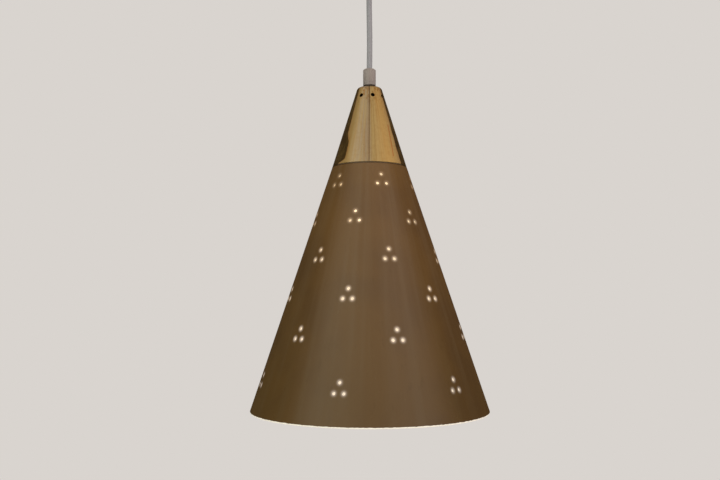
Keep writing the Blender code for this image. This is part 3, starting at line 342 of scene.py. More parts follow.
def copy_of(piece, name, matrix):
    """A copy with its own mesh, moved by a matrix that goes into the mesh."""
    copy = piece.copy()
    copy.data = piece.data.copy()
    copy.name = name
    copy.data.name = name
    copy.data.transform(matrix)
    bpy.context.collection.objects.link(copy)
    return copy


def join(pieces, name):
    """Join pieces into one."""
    make_active(pieces[0])
    for piece in pieces:
        piece.select_set(True)
    bpy.ops.object.join()
    return named(name)


def front_direction(turned):
    """The level direction that lies so many degrees to the right of the front."""
    angle = math.radians(turned)
    return Vector((math.sin(angle), -math.cos(angle), 0))


def finish_piece(piece, node, body, slot, *finishes, smooth=35):
    """Smooth a piece, give it its materials, and say what it rides on and what it replaces."""
    if piece.type == "MESH":
        make_active(piece)
        bpy.ops.object.shade_smooth_by_angle(angle=math.radians(smooth))
    piece.data.materials.clear()
    for finish in finishes:
        piece.data.materials.append(material_of(finish))
    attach(piece, body)
    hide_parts(node)


def dress_node(node, material):
    """Give a CAD node its material."""
    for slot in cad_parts[node].material_slots:
        slot.material = material


# Materials

# Kinds of node by a short name: Blender's type, the inputs in order, the output, and the settings.
# "eased" and "straight" take a value, where it starts and ends, and what they give there (0 and 1).
KINDS = {
    "coordinates": ("ShaderNodeTexCoord", (), "Object", {}),
    "split": ("ShaderNodeSeparateXYZ", (0,), 0, {}),
    "combined": ("ShaderNodeCombineXYZ", (0, 1, 2), 0, {}),
    "scaled": ("ShaderNodeMapping", ("Vector", "Scale"), 0, {}),
    "noise": ("ShaderNodeTexNoise", ("Vector", "Scale", "Detail", "Roughness"), 0, {}),
    "eased": ("ShaderNodeMapRange", range(5), 0, {"interpolation_type": "SMOOTHSTEP"}),
    "straight": ("ShaderNodeMapRange", range(5), 0, {"interpolation_type": "LINEAR"}),
    "mixed": ("ShaderNodeMix", (0, 6, 7), 2, {"data_type": "RGBA"}),
    "bump": ("ShaderNodeBump", ("Height", "Distance"), 0, {}),
    "facing": ("ShaderNodeLayerWeight", ("Blend",), "Facing", {}),
    "rays": ("ShaderNodeLightPath", (), 0, {}),
    "emission": ("ShaderNodeEmission", ("Color", "Strength"), 0, {}),
    "background": ("ShaderNodeBackground", ("Color", "Strength"), 0, {}),
    "mixed_shader": ("ShaderNodeMixShader", (0, 1, 2), 0, {}),
    "world_output": ("ShaderNodeOutputWorld", ("Surface",), None, {}),
    "level": ("ShaderNodeVectorMath", (0, 1), "Vector", {"operation": "MULTIPLY"}),
    "offset": ("ShaderNodeVectorMath", (0, 1), "Vector", {"operation": "SUBTRACT"}),
    "length": ("ShaderNodeVectorMath", (0,), "Value", {"operation": "LENGTH"}),
    "distance": ("ShaderNodeVectorMath", (0, 1), "Value", {"operation": "DISTANCE"}),
}
for step in ("ADD", "SUBTRACT", "MULTIPLY", "MULTIPLY_ADD", "ABSOLUTE", "POWER", "MODULO"):
    KINDS[step.lower()] = ("ShaderNodeMath", (0, 1, 2), 0, {"operation": step})
for step in ("PINGPONG", "MINIMUM", "MAXIMUM", "ARCTAN2"):
    KINDS[step.lower()] = ("ShaderNodeMath", (0, 1), 0, {"operation": step})


def fill(node, values):
    """Link or set a node's inputs."""
    for key, value in values.items():
        socket = node.inputs[key]
        if isinstance(value, bpy.types.NodeSocket):
            node.id_data.links.new(value, socket)
        else:
            socket.default_value = value


def add_node(tree, kind, *values, **settings):
    """Add a node of a kind with its settings and links, and return its output."""
    type_name, keys, output, usual = KINDS[kind]
    node = tree.nodes.new(type_name)
    for name, value in {**usual, **settings}.items():
        setattr(node, name, value)
    fill(node, dict(zip(keys, values)))
    return None if output is None else node.outputs[output]


def start_material(name, **values):
    """A new Principled material with some values set, the way to add nodes to it, its shader."""
    material = bpy.data.materials.new(name)
    material.use_nodes = True
    shader = material.node_tree.nodes["Principled BSDF"]
    fill(shader, {key.replace("_", " "): value for key, value in values.items()})
    return material, partial(add_node, material.node_tree), shader


def linear(hex_value):
    """An sRGB hex value as a linear colour."""
    parts = [int(hex_value[i : i + 2], 16) / 255 for i in (1, 3, 5)]
    parts = [((c + 0.055) / 1.055) ** 2.4 if c > 0.04045 else c / 12.92 for c in parts]
    return (*parts, 1.0)


def layered(add, colour, layers):
    """Lay colours over a first one, each through its mask."""
    for mask, hex_value in layers:
        colour = add("mixed", mask, colour, linear(hex_value))
    return colour


def per(width):
    """The scale of a pattern on Object coordinates whose features are so many millimetres wide."""
    return 1000 / width


def around(add):
    """Object coordinates, radians round the axis (0 in front), the height, and these two as one."""
    place = add("coordinates")
    x, y, z = add("split", place).node.outputs
    angle = add("arctan2", x, add("multiply", y, -1))
    return place, angle, z, add("combined", angle, 0, z)


def streaked(add, down, radius, across, along, *fineness):
    """A noise drawn out down a piece, on its angle and height, with its detail and roughness.

    Its marks are so many millimetres wide where the piece has this radius, and so many long.
    """
    return add("noise", add("scaled", down, (radius / across, 1, per(along))), 1, *fineness)


def from_axis(add, place):
    """Distance from the lamp's axis."""
    return add("length", add("level", place, (1, 1, 0)))


def hole_rows(shade):
    """Height of each row's upper holes and its turn in degrees."""
    room = shade.height - shade.first_row_drop - shade.last_row_rise - shade.group_height
    pitch = (room - shade.last_row_extra) / (shade.rows - 1)
    rows = []
    for row in range(shade.rows):
        drop = shade.first_row_drop + pitch * row
        drop += shade.last_row_extra if row == shade.rows - 1 else 0
        rows.append((CAP_LOW.z - drop, shade.row_turn if row % 2 == 0 else -shade.row_turn))
    return rows


def distance_to_holes(add, shade, place, angle, z):
    """Distance over the sheet to the middle of the nearest hole."""
    radius = from_axis(add, place)
    sector = 2 * math.pi / shade.groups
    spots = {}
    for row_turn in (shade.row_turn, -shade.row_turn):
        shifted = add("add", angle, sector / 2 - math.radians(row_turn) + 4 * sector)
        within = add("subtract", add("modulo", shifted, sector), sector / 2)
        side = add("multiply", add("absolute", within), radius)
        spots[row_turn] = add("combined", side, z)
    nearest = None
    for height, row_turn in hole_rows(shade):
        for spot in ((0, height, 0), (shade.group_width / 2, height - shade.group_height, 0)):
            away = add("distance", spots[row_turn], spot)
            nearest = add("minimum", nearest, away) if nearest else away
    return nearest


def olive_paint(shade):
    """Alkyd paint, sprayed on spun sheet: semi-gloss, with fine orange peel and soft streaks.

    It is darkened toward the rim as painted shade, for the light that falls off lower down, and it
    is worn thin at the rim. A painted glow, emission on the paint, spreads round each hole and
    along the worn rim.
    """
    material, add, shader = start_material("sprayed_olive_alkyd_paint")
    place, angle, z, down = around(add)
    low, high = SHADE_LOW.z, SHADE_HIGH.z

    # Clouds as wide as the spray's passes, wiping streaks, and grime that has run
    cloud = add("noise", place, per(71.4), 3)
    streaks = streaked(add, down, SHADE_MIDDLE, 9.111, 222, 3, 0.45)
    grime = streaked(add, down, SHADE_MIDDLE, 5.694, 18.5, 5, 0.65)
    below = [
        (add("eased", cloud, 0.35, 0.7), "#684d32"),
        (add("eased", streaks, 0.4, 0.75, 0, 0.3), "#7b6349"),
        (add("eased", grime, 0.56, 0.72, 0, 0.3), "#5f4527"),
    ]
    colour = layered(add, linear(shade.paint), below)
    # Painted shade: the paint is darkened toward the rim, where less light falls
    painted_shade_below = add("straight", z, low + 20 * MM, high - 40 * MM, 1, 0)
    colour = add("mixed", painted_shade_below, colour, linear("#e2e7e1"), blend_type="MULTIPLY")

    # Dust is finer than 0.3 mm, too fine to show, and is drawn 1.1 mm wide
    dust = add("noise", place, per(1.11), 2)
    chips = add("multiply", add("noise", place, per(3.85), 4), -1.2 * MM)
    rim = add("eased", add("add", z, chips), low + 0.4 * MM, low + 0.9 * MM, 1, 0)
    # Painted shadow: a dark line on the paint just under the brass, where the gap at the joint is
    # in shade
    joint_shadow = add("eased", z, CAP_LOW.z - 1.6 * MM, CAP_LOW.z - 0.9 * MM, 0, 0.75)
    above = [
        (add("eased", dust, 0.7, 0.78, 0, 0.25), "#9c8c6b"),
        (rim, "#f4efe2"),
        (joint_shadow, "#3a2917"),
    ]

    # The glow round the holes is painted light, an emission on the paint for the light that spreads
    # from each hole; it is brightest two fifths up the shade, and whiter below
    radius = shade.hole_diameter / 2
    reach, falloff, brightest, rim_glow = radius * 3.2, 2.6, shade.height * 0.4, 0.4
    away = distance_to_holes(add, shade, place, angle, z)
    spread = add("power", add("straight", away, radius, reach, 1, 0), falloff)
    off_level = add("absolute", add("subtract", z, low + brightest))
    power = add("eased", off_level, 0, shade.height - brightest, 0.52, 0.16)
    # The worn white rim also glows, with painted light over its worn colour
    glow = add("maximum", add("multiply", spread, power), add("multiply", rim, rim_glow))
    warmth = add("straight", z, low, high)

    polish = streaked(add, down, SHADE_MIDDLE, 5.125, 41.7, 3, 0.6)
    dents = add("noise", place, per(111), 2)
    peel = add("noise", place, per(2.38), 2)
    fill(shader, {
        "Base Color": layered(add, colour, above),
        "Roughness": add("eased", polish, 0.3, 0.7, 0.3, 0.38),
        "Specular IOR Level": add("eased", add("facing", 0.5), 0.1, 0.36, 0.26, 0),
        "Emission Strength": glow,
        "Emission Color": add("mixed", warmth, linear("#fff1e3"), linear("#ffdcae")),
        "Normal": add("bump", add("multiply_add", dents, 6, peel), 0.035 * MM),
    })
    return material


def white_enamel(shade):
    """White enamel, baked on: glossy and even, a little yellowed by heat near the bulb.

    The bulb lights it, and a painted glow, an emission strongest at the rim and weakest at the top,
    stands for its light bouncing inside.
    """
    material, add, shader = start_material("baked_white_enamel", Roughness=0.35)
    place, _, z, down = around(add)
    low, high = SHADE_LOW.z, SHADE_HIGH.z
    soot = streaked(add, down, SHADE_MIDDLE, 4.556, 27.8, 4, 0.6)
    layers = [
        (add("eased", z, high - 110 * MM, high, 0, 0.5), "#e9d9b6"),
        (add("eased", soot, 0.5, 0.75, 0, 0.3), "#d6c8aa"),
    ]
    peel = add("noise", place, per(2.86), 2)
    fill(shader, {
        "Base Color": layered(add, linear(shade.enamel), layers),
        "Emission Color": linear("#fff0dc"),
        # Painted light: an emission for the bulb's light bouncing inside the shade
        "Emission Strength": add("eased", z, low, high, 0.42, 0.1),
        "Normal": add("bump", peel, 0.03 * MM),
    })
    return material


def line_mark(add, angle, z, radius, start, end, half_width):
    """A mask along a straight line down a cone between two (degrees, height) points.

    It is soft from half its half width outwards.
    """
    (start_angle, top), (end_angle, low) = start, end
    on_line = add("straight", z, low, top, math.radians(end_angle), math.radians(start_angle))
    away = add("multiply", add("absolute", add("subtract", angle, on_line)), radius)
    mark = add("eased", away, half_width * 0.5, half_width * 1.3, 1, 0)
    above = add("eased", z, top, top + MM, 1, 0)
    below = add("eased", z, low - MM, low, 0, 1)
    return add("multiply", add("multiply", mark, above), below)


def dark_reflection_mask(add, angle, z, down, spread=0):
    """Where the painted reflection of a dark room lies: both sides of the cone, reaching farther
    forward low on the left.

    A spread of some degrees lets it fade in that much earlier.
    """
    foot = CAP_LOW.z
    folded = add("pingpong", add("add", angle, math.pi), math.pi / 2)
    left = add("eased", angle, -0.2, 0.2, 1, 0)
    reach = add("eased", z, foot + 20 * MM, foot + 36 * MM, math.radians(12.5), math.radians(3.5))
    flare = add("eased", z, foot, foot + 6 * MM, math.radians(14), 0)
    reach = add("multiply", add("subtract", reach, flare), left)
    ragged = streaked(add, down, CAP_MIDDLE, 2.455, 11.36, 5, 0.62)
    ragged = add("multiply", add("subtract", ragged, 0.5), 0.14)
    side = add("add", add("add", folded, reach), ragged)
    starts, full = math.radians(54 - spread), math.radians(56)  # from the front or the back
    return add("eased", side, starts, full)


def brass_stains(add, angle, z, down):
    """The stains, freckles and drips on the bright brass, as layers of a mask and a colour."""
    top = CAP_HIGH.z
    dull_side = add("eased", angle, math.radians(-42), math.radians(-28), 0.7, 0)
    ochre_side = add("eased", angle, math.radians(8), math.radians(32), 0, 0.7)
    stain = streaked(add, down, CAP_MIDDLE, 2.7, 45.5, 4, 0.65)
    fade = add("eased", z, top - 50 * MM, top - 4 * MM, 0.3, 1)
    stain = add("multiply", add("eased", stain, 0.49, 0.64, 0, 0.8), fade)
    freckles = streaked(add, down, CAP_MIDDLE, 4.5, 4.9, 4, 0.65)
    near_top = add("eased", z, top - 24 * MM, top - 6 * MM, 0.12, 0.75)
    freckles = add("multiply", add("eased", freckles, 0.5, 0.58), near_top)
    drips = streaked(add, down, CAP_MIDDLE, 1.286, 95.2, 4, 0.6)
    return [
        (dull_side, "#91753f"),
        (ochre_side, "#ab874d"),
        (stain, "#a5783e"),
        (freckles, "#8a5c2a"),
        (add("eased", drips, 0.48, 0.64, 0, 0.4), "#9a7947"),
    ]


def brass_scratches(add, place, angle, z, down):
    """A long scratch, a faint fold and a patch of small nicks, as layers of a mask and a colour."""
    top, foot = CAP_HIGH.z, CAP_LOW.z
    radius = from_axis(add, place)
    scratch_ends = (46, foot + 42 * MM), (41, foot + 8 * MM)
    scratch = line_mark(add, angle, z, radius, *scratch_ends, 0.8 * MM)
    fold_ends = (12, top - 13 * MM), (7, foot)
    fold = line_mark(add, angle, z, radius, *fold_ends, 0.3 * MM)
    spot = (-0.2, 0, foot + 13 * MM)  # radians left of the front, and the height
    from_spot = add("length", add("level", add("offset", down, spot), (1, 1, 9)))
    nicks = streaked(add, down, CAP_MIDDLE, 0.3, 3.7, 3, 0.6)
    nicks = add("eased", nicks, 0.58, 0.66)
    return [
        (add("multiply", scratch, 0.7), "#a05c24"),
        (add("multiply", fold, 0.3), "#8f6f3c"),
        (add("multiply", nicks, add("eased", from_spot, 0.05, 0.12, 0.6, 0)), "#5e4a2e"),
    ]


def aged_brass(brass):
    """Brass sheet, rolled, polished and lacquered long ago: bright in front and behind.

    On both sides, between, lies a painted reflection of a dark room, as a brown and duller patch.
    Fine lines run down it from rolling, milky lacquer lies left of the dark seam in front, and
    stains lie by the top. Its top and foot edges are darkened with painted shade.
    """
    material, add, shader = start_material("aged_lacquered_brass")
    place, angle, z, down = around(add)
    top, foot = CAP_HIGH.z, CAP_LOW.z

    # Rolling lines are about 0.05 mm wide, too fine to show, and are drawn five times as wide
    grain = streaked(add, down, CAP_MIDDLE, 0.2455, 75.8, 5, 0.7)
    milky = add("eased", angle, math.radians(-50), math.radians(-20))
    milky_end = add("eased", angle, math.radians(-3), math.radians(6), 1, 0)
    patch = streaked(add, down, CAP_MIDDLE, 2.25, 46.3, 3)
    milky = add("multiply", milky, milky_end)
    milky = add("multiply", milky, add("eased", patch, 0.3, 0.6, 0.6, 1))
    bright = [(add("eased", grain, 0.35, 0.7), "#ad8f58"), (milky, brass.pale)]
    bright += brass_stains(add, angle, z, down)
    bright += brass_scratches(add, place, angle, z, down)
    # An orange fringe at the edge of the painted reflection
    dark_reflection_fringe = dark_reflection_mask(add, angle, z, down, spread=5)
    bright.append((add("multiply", dark_reflection_fringe, 0.6), "#94622a"))
    colour = layered(add, linear(brass.brass), bright)

    # Painted reflection of a dark room on both sides, made browner, duller and barely metallic
    dark_reflection = dark_reflection_mask(add, angle, z, down)
    patchy = add("noise", place, per(11.1), 5, 0.65)
    rubbed = streaked(add, down, CAP_MIDDLE, 1.929, 23.8, 4, 0.6)
    dark = [
        (add("eased", patchy, 0.35, 0.7), "#5c4727"),
        (add("eased", rubbed, 0.58, 0.7, 0, 0.45), "#7e6437"),
    ]
    colour = add("mixed", dark_reflection, colour, layered(add, linear(brass.dark_reflection_tint), dark))

    seam_ends = (brass.seam_turn, top), (brass.seam_turn, foot)
    seam = line_mark(add, angle, z, from_axis(add, place), *seam_ends, 0.42 * MM)
    # Painted shade: dark lines along the foot, for the shadow in the gap at the joint, and along
    # the top edge, for the shoulder's dark reflection
    foot_shadow = add("eased", z, foot + 0.3 * MM, foot + 0.9 * MM, 1, 0)
    top_shade = add("eased", z, top - 1.2 * MM, top - 0.4 * MM)
    ends = add("maximum", foot_shadow, top_shade)
    lines = [(add("multiply", seam, 0.9), "#45290c"), (add("multiply", ends, 0.85), "#3f2d14")]

    dents = add("noise", place, per(45.5), 2)
    polish = add("eased", grain, 0.3, 0.7, 0.38, 0.5)
    fill(shader, {
        "Base Color": layered(add, colour, lines),
        "Metallic": add("straight", dark_reflection, 0, 1, 1, 0.15),
        "Roughness": add("add", polish, add("multiply", dark_reflection, 0.2)),
        "Specular IOR Level": add("eased", add("facing", 0.5), 0.1, 0.4, 0.25, 0),
        "Normal": add("bump", add("multiply_add", dents, 5, grain), 0.03 * MM),
    })
    return material


def dull_brass(name, hex_value, roughness):
    """Turned or stamped brass left as it came: duller, with darker blotches.

    The tool's marks are 0.1 mm apart, too fine to show, and are drawn 0.7 mm wide.
    """
    material, add, shader = start_material(name, Metallic=1.0, Roughness=roughness)
    place = add("coordinates")
    blotch = add("eased", add("noise", place, per(5.56), 4, 0.6), 0.4, 0.7)
    tool_marks = add("noise", place, per(0.667), 2)
    fill(shader, {
        "Base Color": layered(add, linear(hex_value), [(blotch, "#7d5d2c")]),
        "Normal": add("bump", tool_marks, 0.02 * MM),
    })
    return material


def moulded(name, hex_value, cloud_hex, roughness, **values):
    """Moulded plastic, fired clay or glass: one colour with soft clouds and an even skin.

    The skin's grain is under 0.1 mm wide, too fine to show, and is drawn 2 mm wide.
    """
    material, add, shader = start_material(name, Roughness=roughness, **values)
    place = add("coordinates")
    cloud = add("eased", add("noise", place, per(22.2), 3), 0.4, 0.75, 0, 0.6)
    skin = add("noise", place, per(2), 3)
    fill(shader, {
        "Base Color": layered(add, linear(hex_value), [(cloud, cloud_hex)]),
        "Roughness": add("eased", skin, 0.3, 0.7, roughness - 0.04, roughness + 0.06),
        "Normal": add("bump", skin, 0.02 * MM),
    })
    return material


def cord_sheath(cord):
    """Soft white PVC, extruded: a satin skin with faint lines along it and a little grime.

    The die's lines are 0.2 mm wide and as long as the cord that shows.
    """
    material, add, shader = start_material("extruded_white_pvc", Roughness=0.42)
    place, _, _, down = around(add)
    lines = streaked(add, down, 3, 0.214, 143, 3)
    grime = add("noise", place, per(8.33), 4, 0.6)
    layers = [
        (add("eased", lines, 0.4, 0.75, 0, 0.7), "#959298"),
        (add("eased", grime, 0.6, 0.75, 0, 0.35), "#857d74"),
    ]
    fill(shader, {
        "Base Color": layered(add, linear(cord.sheath), layers),
        "Normal": add("bump", lines, 0.06 * MM),
    })
    return material


def zinc_steel(ceiling):
    """Zinc-plated steel: bluish grey and satin, with the plating's faint cloudy grain.

    The crystals are under 0.1 mm wide, too fine to show, and are drawn 1.1 mm wide.
    """
    material, add, shader = start_material("zinc_plated_steel", Metallic=1.0, Roughness=0.36)
    place = add("coordinates")
    cloud = add("noise", place, per(3.125), 4, 0.6)
    crystals = add("noise", place, per(1.11), 2)
    layers = [(add("eased", cloud, 0.35, 0.7), "#8e9092")]
    fill(shader, {
        "Base Color": layered(add, linear(ceiling.steel), layers),
        "Roughness": add("eased", cloud, 0.3, 0.7, 0.3, 0.45),
        "Normal": add("bump", crystals, 0.015 * MM),
    })
    return material


def dark_steel(name, hex_value):
    """Blackened steel: nearly black and dull, with rust in spots 2.5 mm wide."""
    material, add, shader = start_material(name, Metallic=0.9, Roughness=0.5)
    rust = add("noise", add("coordinates"), per(2.5), 5, 0.65)
    layers = [(add("eased", rust, 0.45, 0.7), "#4a3524")]
    fill(shader, {
        "Base Color": layered(add, linear(hex_value), layers),
        "Normal": add("bump", rust, 0.05 * MM),
    })
    return material


def lit_glass(bulb):
    """Glass, frosted inside by etching, and lit: a warm white skin, brightest round the filament.

    The frost's grain is under 0.05 mm wide, too fine to show, and is drawn 0.4 mm wide.
    """
    material, add, shader = start_material(
        "frosted_glass_lit",
        Roughness=0.45,
        Base_Color=linear("#f3ead8"),
        Coat_Weight=0.3,
        Emission_Color=linear(bulb.light),
    )
    place, _, z, _ = around(add)
    away = add("absolute", add("subtract", z, BULB_LOW.z + bulb.radius))
    frost = add("noise", place, per(0.4), 2)
    fill(shader, {
        "Emission Strength": add("eased", away, 0, bulb.radius * 1.6, bulb.glow, bulb.glow * 0.62),
        "Normal": add("bump", frost, 0.01 * MM),
    })
    return material


def drawn_metal(name, hex_value, roughness):
    """Drawn metal with a thin bright skin: rubbed in fine rings round it.

    The rings are 0.1 mm wide, too fine to show, and are drawn 0.8 mm wide.
    """
    material, add, shader = start_material(name, Metallic=1.0, Roughness=roughness)
    rings = add("scaled", add("coordinates"), (per(11.1), per(11.1), per(0.794)))
    rings = add("noise", rings, 1, 4, 0.6)
    layers = [(add("eased", rings, 0.4, 0.7), "#7f7b74")]
    fill(shader, {
        "Base Color": layered(add, linear(hex_value), layers),
        "Normal": add("bump", rings, 0.02 * MM),
    })
    return material


# What makes each finish, and what its colours and roughness give the eye
FINISHES = {
    "paint": lambda scene: olive_paint(scene.lamp_shade),
    "enamel": lambda scene: white_enamel(scene.lamp_shade),
    "brass": lambda scene: aged_brass(scene.lamp_brass),
    # Brown and dull, as brass goes where no hand or cloth reaches it
    "cap_inside": lambda scene: dull_brass("oxidised_brass_inside", "#8a6b3a", 0.6),
    # Warm and fairly bright, from the lathe
    "small_brass": lambda scene: dull_brass("turned_brass", "#c59a55", 0.34),
    # Warm and satin, from the press
    "socket_brass": lambda scene: dull_brass("stamped_socket_brass", "#b88f4e", 0.4),
    # Nylon yellowed to ivory, moulded: satin, with a soft grey shade
    "nylon": lambda scene: moulded("ivory_nylon", scene.lamp_cord.nylon, "#8c7f78", 0.42),
    "sheath": lambda scene: cord_sheath(scene.lamp_cord),
    # Warm white thermoplastic, moulded: a soft sheen
    "plastic": lambda scene: moulded(
        "white_moulded_plastic", scene.lamp_ceiling.plastic, "#dad5ca", 0.34
    ),
    "steel": lambda scene: zinc_steel(scene.lamp_ceiling),
    "dark_steel": lambda scene: dark_steel("blackened_steel", "#2f2a25"),
    # Bakelite, moulded under heat: brownish black with a hard gloss
    "bakelite": lambda scene: moulded(
        "black_bakelite", scene.lamp_bulb.bakelite, "#2b2420", 0.26, Coat_Weight=0.2
    ),
    # Porcelain, glazed and fired: creamy white with a wet gloss
    "porcelain": lambda scene: moulded(
        "glazed_porcelain", "#ece8dd", "#e0dacb", 0.16, Coat_Weight=0.5
    ),
    # PVC, extruded over the wire: plain satin brown or blue
    "brown_core": lambda scene: moulded("brown_core_pvc", "#6b3c22", "#5a311b", 0.4),
    "blue_core": lambda scene: moulded("blue_core_pvc", "#2f5ca8", "#274e92", 0.4),
    "lit_glass": lambda scene: lit_glass(scene.lamp_bulb),
    # Soda-lime glass, melted to shape: clear, smooth and faintly green
    "clear_glass": lambda scene: moulded(
        "stem_glass", "#e9efe9", "#dfe7df", 0.1, Transmission_Weight=0.9
    ),
    # Nickel plate on a drawn shell: warm grey and bright
    "base_metal": lambda scene: drawn_metal("nickel_plated_base", "#b7b2a9", 0.3),
    # Tungsten, drawn and coiled: dark grey and satin
    "tungsten": lambda scene: drawn_metal("tungsten_wire", "#5a5650", 0.45),
    # Solder, set from a drop: pale grey and dull
    "solder": lambda scene: drawn_metal("dull_solder", "#a9a8a4", 0.42),
    # Vitrite, a dark glass poured into the base: black and glossy
    "black_glass": lambda scene: moulded(
        "black_vitrite", "#141416", "#1d1d20", 0.12, Coat_Weight=0.4
    ),
}


def material_of(finish):
    """The finish's material, made when it is first asked for."""
    scene = bpy.context.scene
    key = "lamp_material_" + finish
    found = bpy.data.materials.get(scene.get(key, ""))
    if not found:
        found = FINISHES[finish](scene)
        scene[key] = found.name
    return found


# Pieces


def line_faces(piece, test):
    """Give the faces that pass a test the second of the piece's materials."""
    for polygon in piece.data.polygons:
        if test(polygon.center, polygon.normal):
            polygon.material_index = 1


def shade_punches(shade, slope):
    """The shapes that punch the holes: one group of three a row, copied round the cone."""
    punches = []
    for height, row_turn in hole_rows(shade):
        group = []
        for drop, side in ((0, 0), (shade.group_height, -1), (shade.group_height, 1)):
            z = height - drop
            radius = shade.neck_radius + slope * (CAP_LOW.z - z)
            out = front_direction(row_turn + side * math.degrees(shade.group_width / 2 / radius))
            normal = (out + UP * slope).normalized()
            middle = out * radius + UP * z
            group.append(rod("punch", middle, normal, shade.hole_diameter / 2, shade.wall * 6))
        first = join(group, "punch_row")
        punches.append(first)
        for turned in range(1, shade.groups):
            spin = Matrix.Rotation(2 * math.pi * turned / shade.groups, 4, "Z")
            punches.append(copy_of(first, "punch_copy", spin))
    return join(punches, "punches")


def make_shade(shade):
    """The cone with its rolled rim, turned from sheet and punched."""
    low = SHADE_LOW.z
    slope = (shade.rim_radius - shade.neck_radius) / shade.height
    slant = math.hypot(1, slope)
    lean = math.degrees(math.atan(slope))
    wall = shade.wall * slant  # measured level
    bead = shade.bead
    middle = (shade.rim_radius - slope * bead - bead * slant, low + bead)
    roll = arc(middle, bead, lean, -200, 12)
    inner_foot, outer_foot = low + bead * 2.6, low + bead * 4  # where the walls run into the roll
    inner_radius = shade.rim_radius - slope * (inner_foot - low) - wall
    top = SHADE_HIGH.z
    neck = shade.neck_radius + slope * GAP
    heights = [top, top - 0.8 * MM] + [top + (outer_foot - top) * i / 6 for i in range(1, 7)]
    cone = [(neck + slope * (top - z), z) for z in heights]
    profile = cone + roll + [(inner_radius, inner_foot), (neck - wall, top)]
    piece = turn("painted_shade", profile, SHEET_SIDES)
    soften(piece, 0.25 * MM, 2, 60)
    cut(piece, shade_punches(shade, slope))

    def inside(centre, normal):
        out = Vector((centre.x, centre.y, 0)).normalized() + UP * slope
        return normal.dot(out) < -0.3 and centre.z > low + bead * 0.5

    finish_piece(piece, "shade", "lamp", "olive_brown_paint", "paint", "enamel")
    line_faces(piece, inside)


def press_seam(piece, brass, slope):
    """Press the seam in front into the brass cone, along the column of points that is nearest."""
    depth, half_side = 0.3 * MM, math.pi / SHEET_SIDES
    seam = math.radians(brass.seam_turn)
    for vertex in piece.data.vertices:
        x, y, z = vertex.co
        radius = math.hypot(x, y)
        surface = brass.top_radius + slope * (CAP_HIGH.z - z)
        outside = radius > max(brass.top_radius * 0.8, surface - 0.5 * MM)
        if outside and abs(math.atan2(x, -y) - seam) < half_side:
            vertex.co.x *= 1 - depth / radius
            vertex.co.y *= 1 - depth / radius


def make_brass_cap(brass):
    """The brass cone: turned, its seam pressed in, and its vents drilled."""
    shade = bpy.context.scene.lamp_shade
    height = CAP_HIGH.z - CAP_LOW.z
    slope = (shade.neck_radius - brass.top_radius) / height
    slant = math.hypot(1, slope)
    lean = math.degrees(math.atan(slope))
    reach = brass.shoulder * math.tan(math.radians(90 - lean) / 2)
    middle = (brass.top_radius - reach, CAP_HIGH.z - brass.shoulder)
    shoulder = arc(middle, brass.shoulder, 90, lean, 10)
    inner_shoulder = arc(middle, brass.shoulder - brass.wall, lean, 90, 6)
    foot_z = CAP_LOW.z
    neck = shade.neck_radius
    steps = [0.02] + [i / 6 for i in range(1, 6)] + [0.985]
    start = Vector(shoulder[-1])
    end = Vector((neck, foot_z))
    cone = [tuple(start.lerp(end, t)) for t in steps]
    inner_foot = (neck - brass.wall * slant, foot_z)
    under_top = CAP_HIGH.z - brass.wall
    profile = [(brass.bore, CAP_HIGH.z)] + shoulder + cone + [(neck, foot_z), inner_foot]
    profile += inner_shoulder + [(brass.bore, under_top)]
    piece = turn("brass_cone", profile, SHEET_SIDES)
    press_seam(piece, brass, slope)
    soften(piece, 0.22 * MM, 2, 60)
    radius = brass.top_radius + slope * brass.vent_drop
    vent_z = CAP_HIGH.z - brass.vent_drop
    drills = []
    for i in range(brass.vents):
        out = front_direction(brass.vent_turn + 360 * i / brass.vents)
        normal = (out + UP * slope).normalized()
        spot = out * radius + UP * vent_z
        drills.append(rod("drill", spot, normal, brass.vent_diameter / 2, brass.wall * 5))
    cut(piece, join(drills, "drills"))

    def inside(centre, normal):
        out = Vector((centre.x, centre.y, 0)).normalized()
        facing = normal.dot(out + UP * slope)
        drilled = abs(facing) < 0.3 and abs(vent_z - centre.z) < brass.vent_diameter
        return facing < -0.2 or drilled

    finish_piece(piece, "brass_cap", "lamp", "aged_brass", "brass", "cap_inside")
    line_faces(piece, inside)


def make_grip(cord):
    """The nylon cord grip with its moulding line, its screw, and the washer under it."""
    top, low = GRIP_HIGH.z, GRIP_LOW.z
    radius = cord.grip_radius
    bore = cord.diameter / 2 + GAP
    profile = [
        (radius - cord.grip_chamfer, top),
        (radius, top - cord.grip_chamfer),
        (radius, low + 0.35 * MM),
        (radius - 0.35 * MM, low),
        (bore, low),
        (bore, top),
    ]
    grip = turn("nylon_grip", profile)
    soften(grip, 0.22 * MM, 3, 25)
    screw_drop = 0.28  # share of the grip's height
    screw_z = top - (top - low) * screw_drop
    spot = (0, radius, screw_z)
    cut(grip, rod("hole", spot, TO_BACK, cord.screw_radius + GAP, radius * 1.04))
    line_half, line_rise = 0.25 * MM, 0.08 * MM  # the moulding line in front
    for vertex in grip.data.vertices:
        if abs(vertex.co.x) < line_half and vertex.co.y < -radius * 0.9:
            vertex.co.y -= line_rise
    finish_piece(grip, "cord_grip", "lamp", "ivory_nylon", "nylon")

    screw = grub_screw("grip_grub_screw", cord.screw_radius, bore, radius, screw_z)
    finish_piece(screw, "grip_screw", "lamp", "zinc_plated_steel", "steel")

    outer, bore = WASHER_HIGH.x, bpy.context.scene.lamp_brass.bore
    top, low = WASHER_HIGH.z, WASHER_LOW.z
    washer = turn("steel_washer", [(outer, top), (outer, low), (bore, low), (bore, top)])
    soften(washer, 0.2 * MM)
    finish_piece(washer, "cap_washer", "lamp", "zinc_plated_steel", "dark_steel")


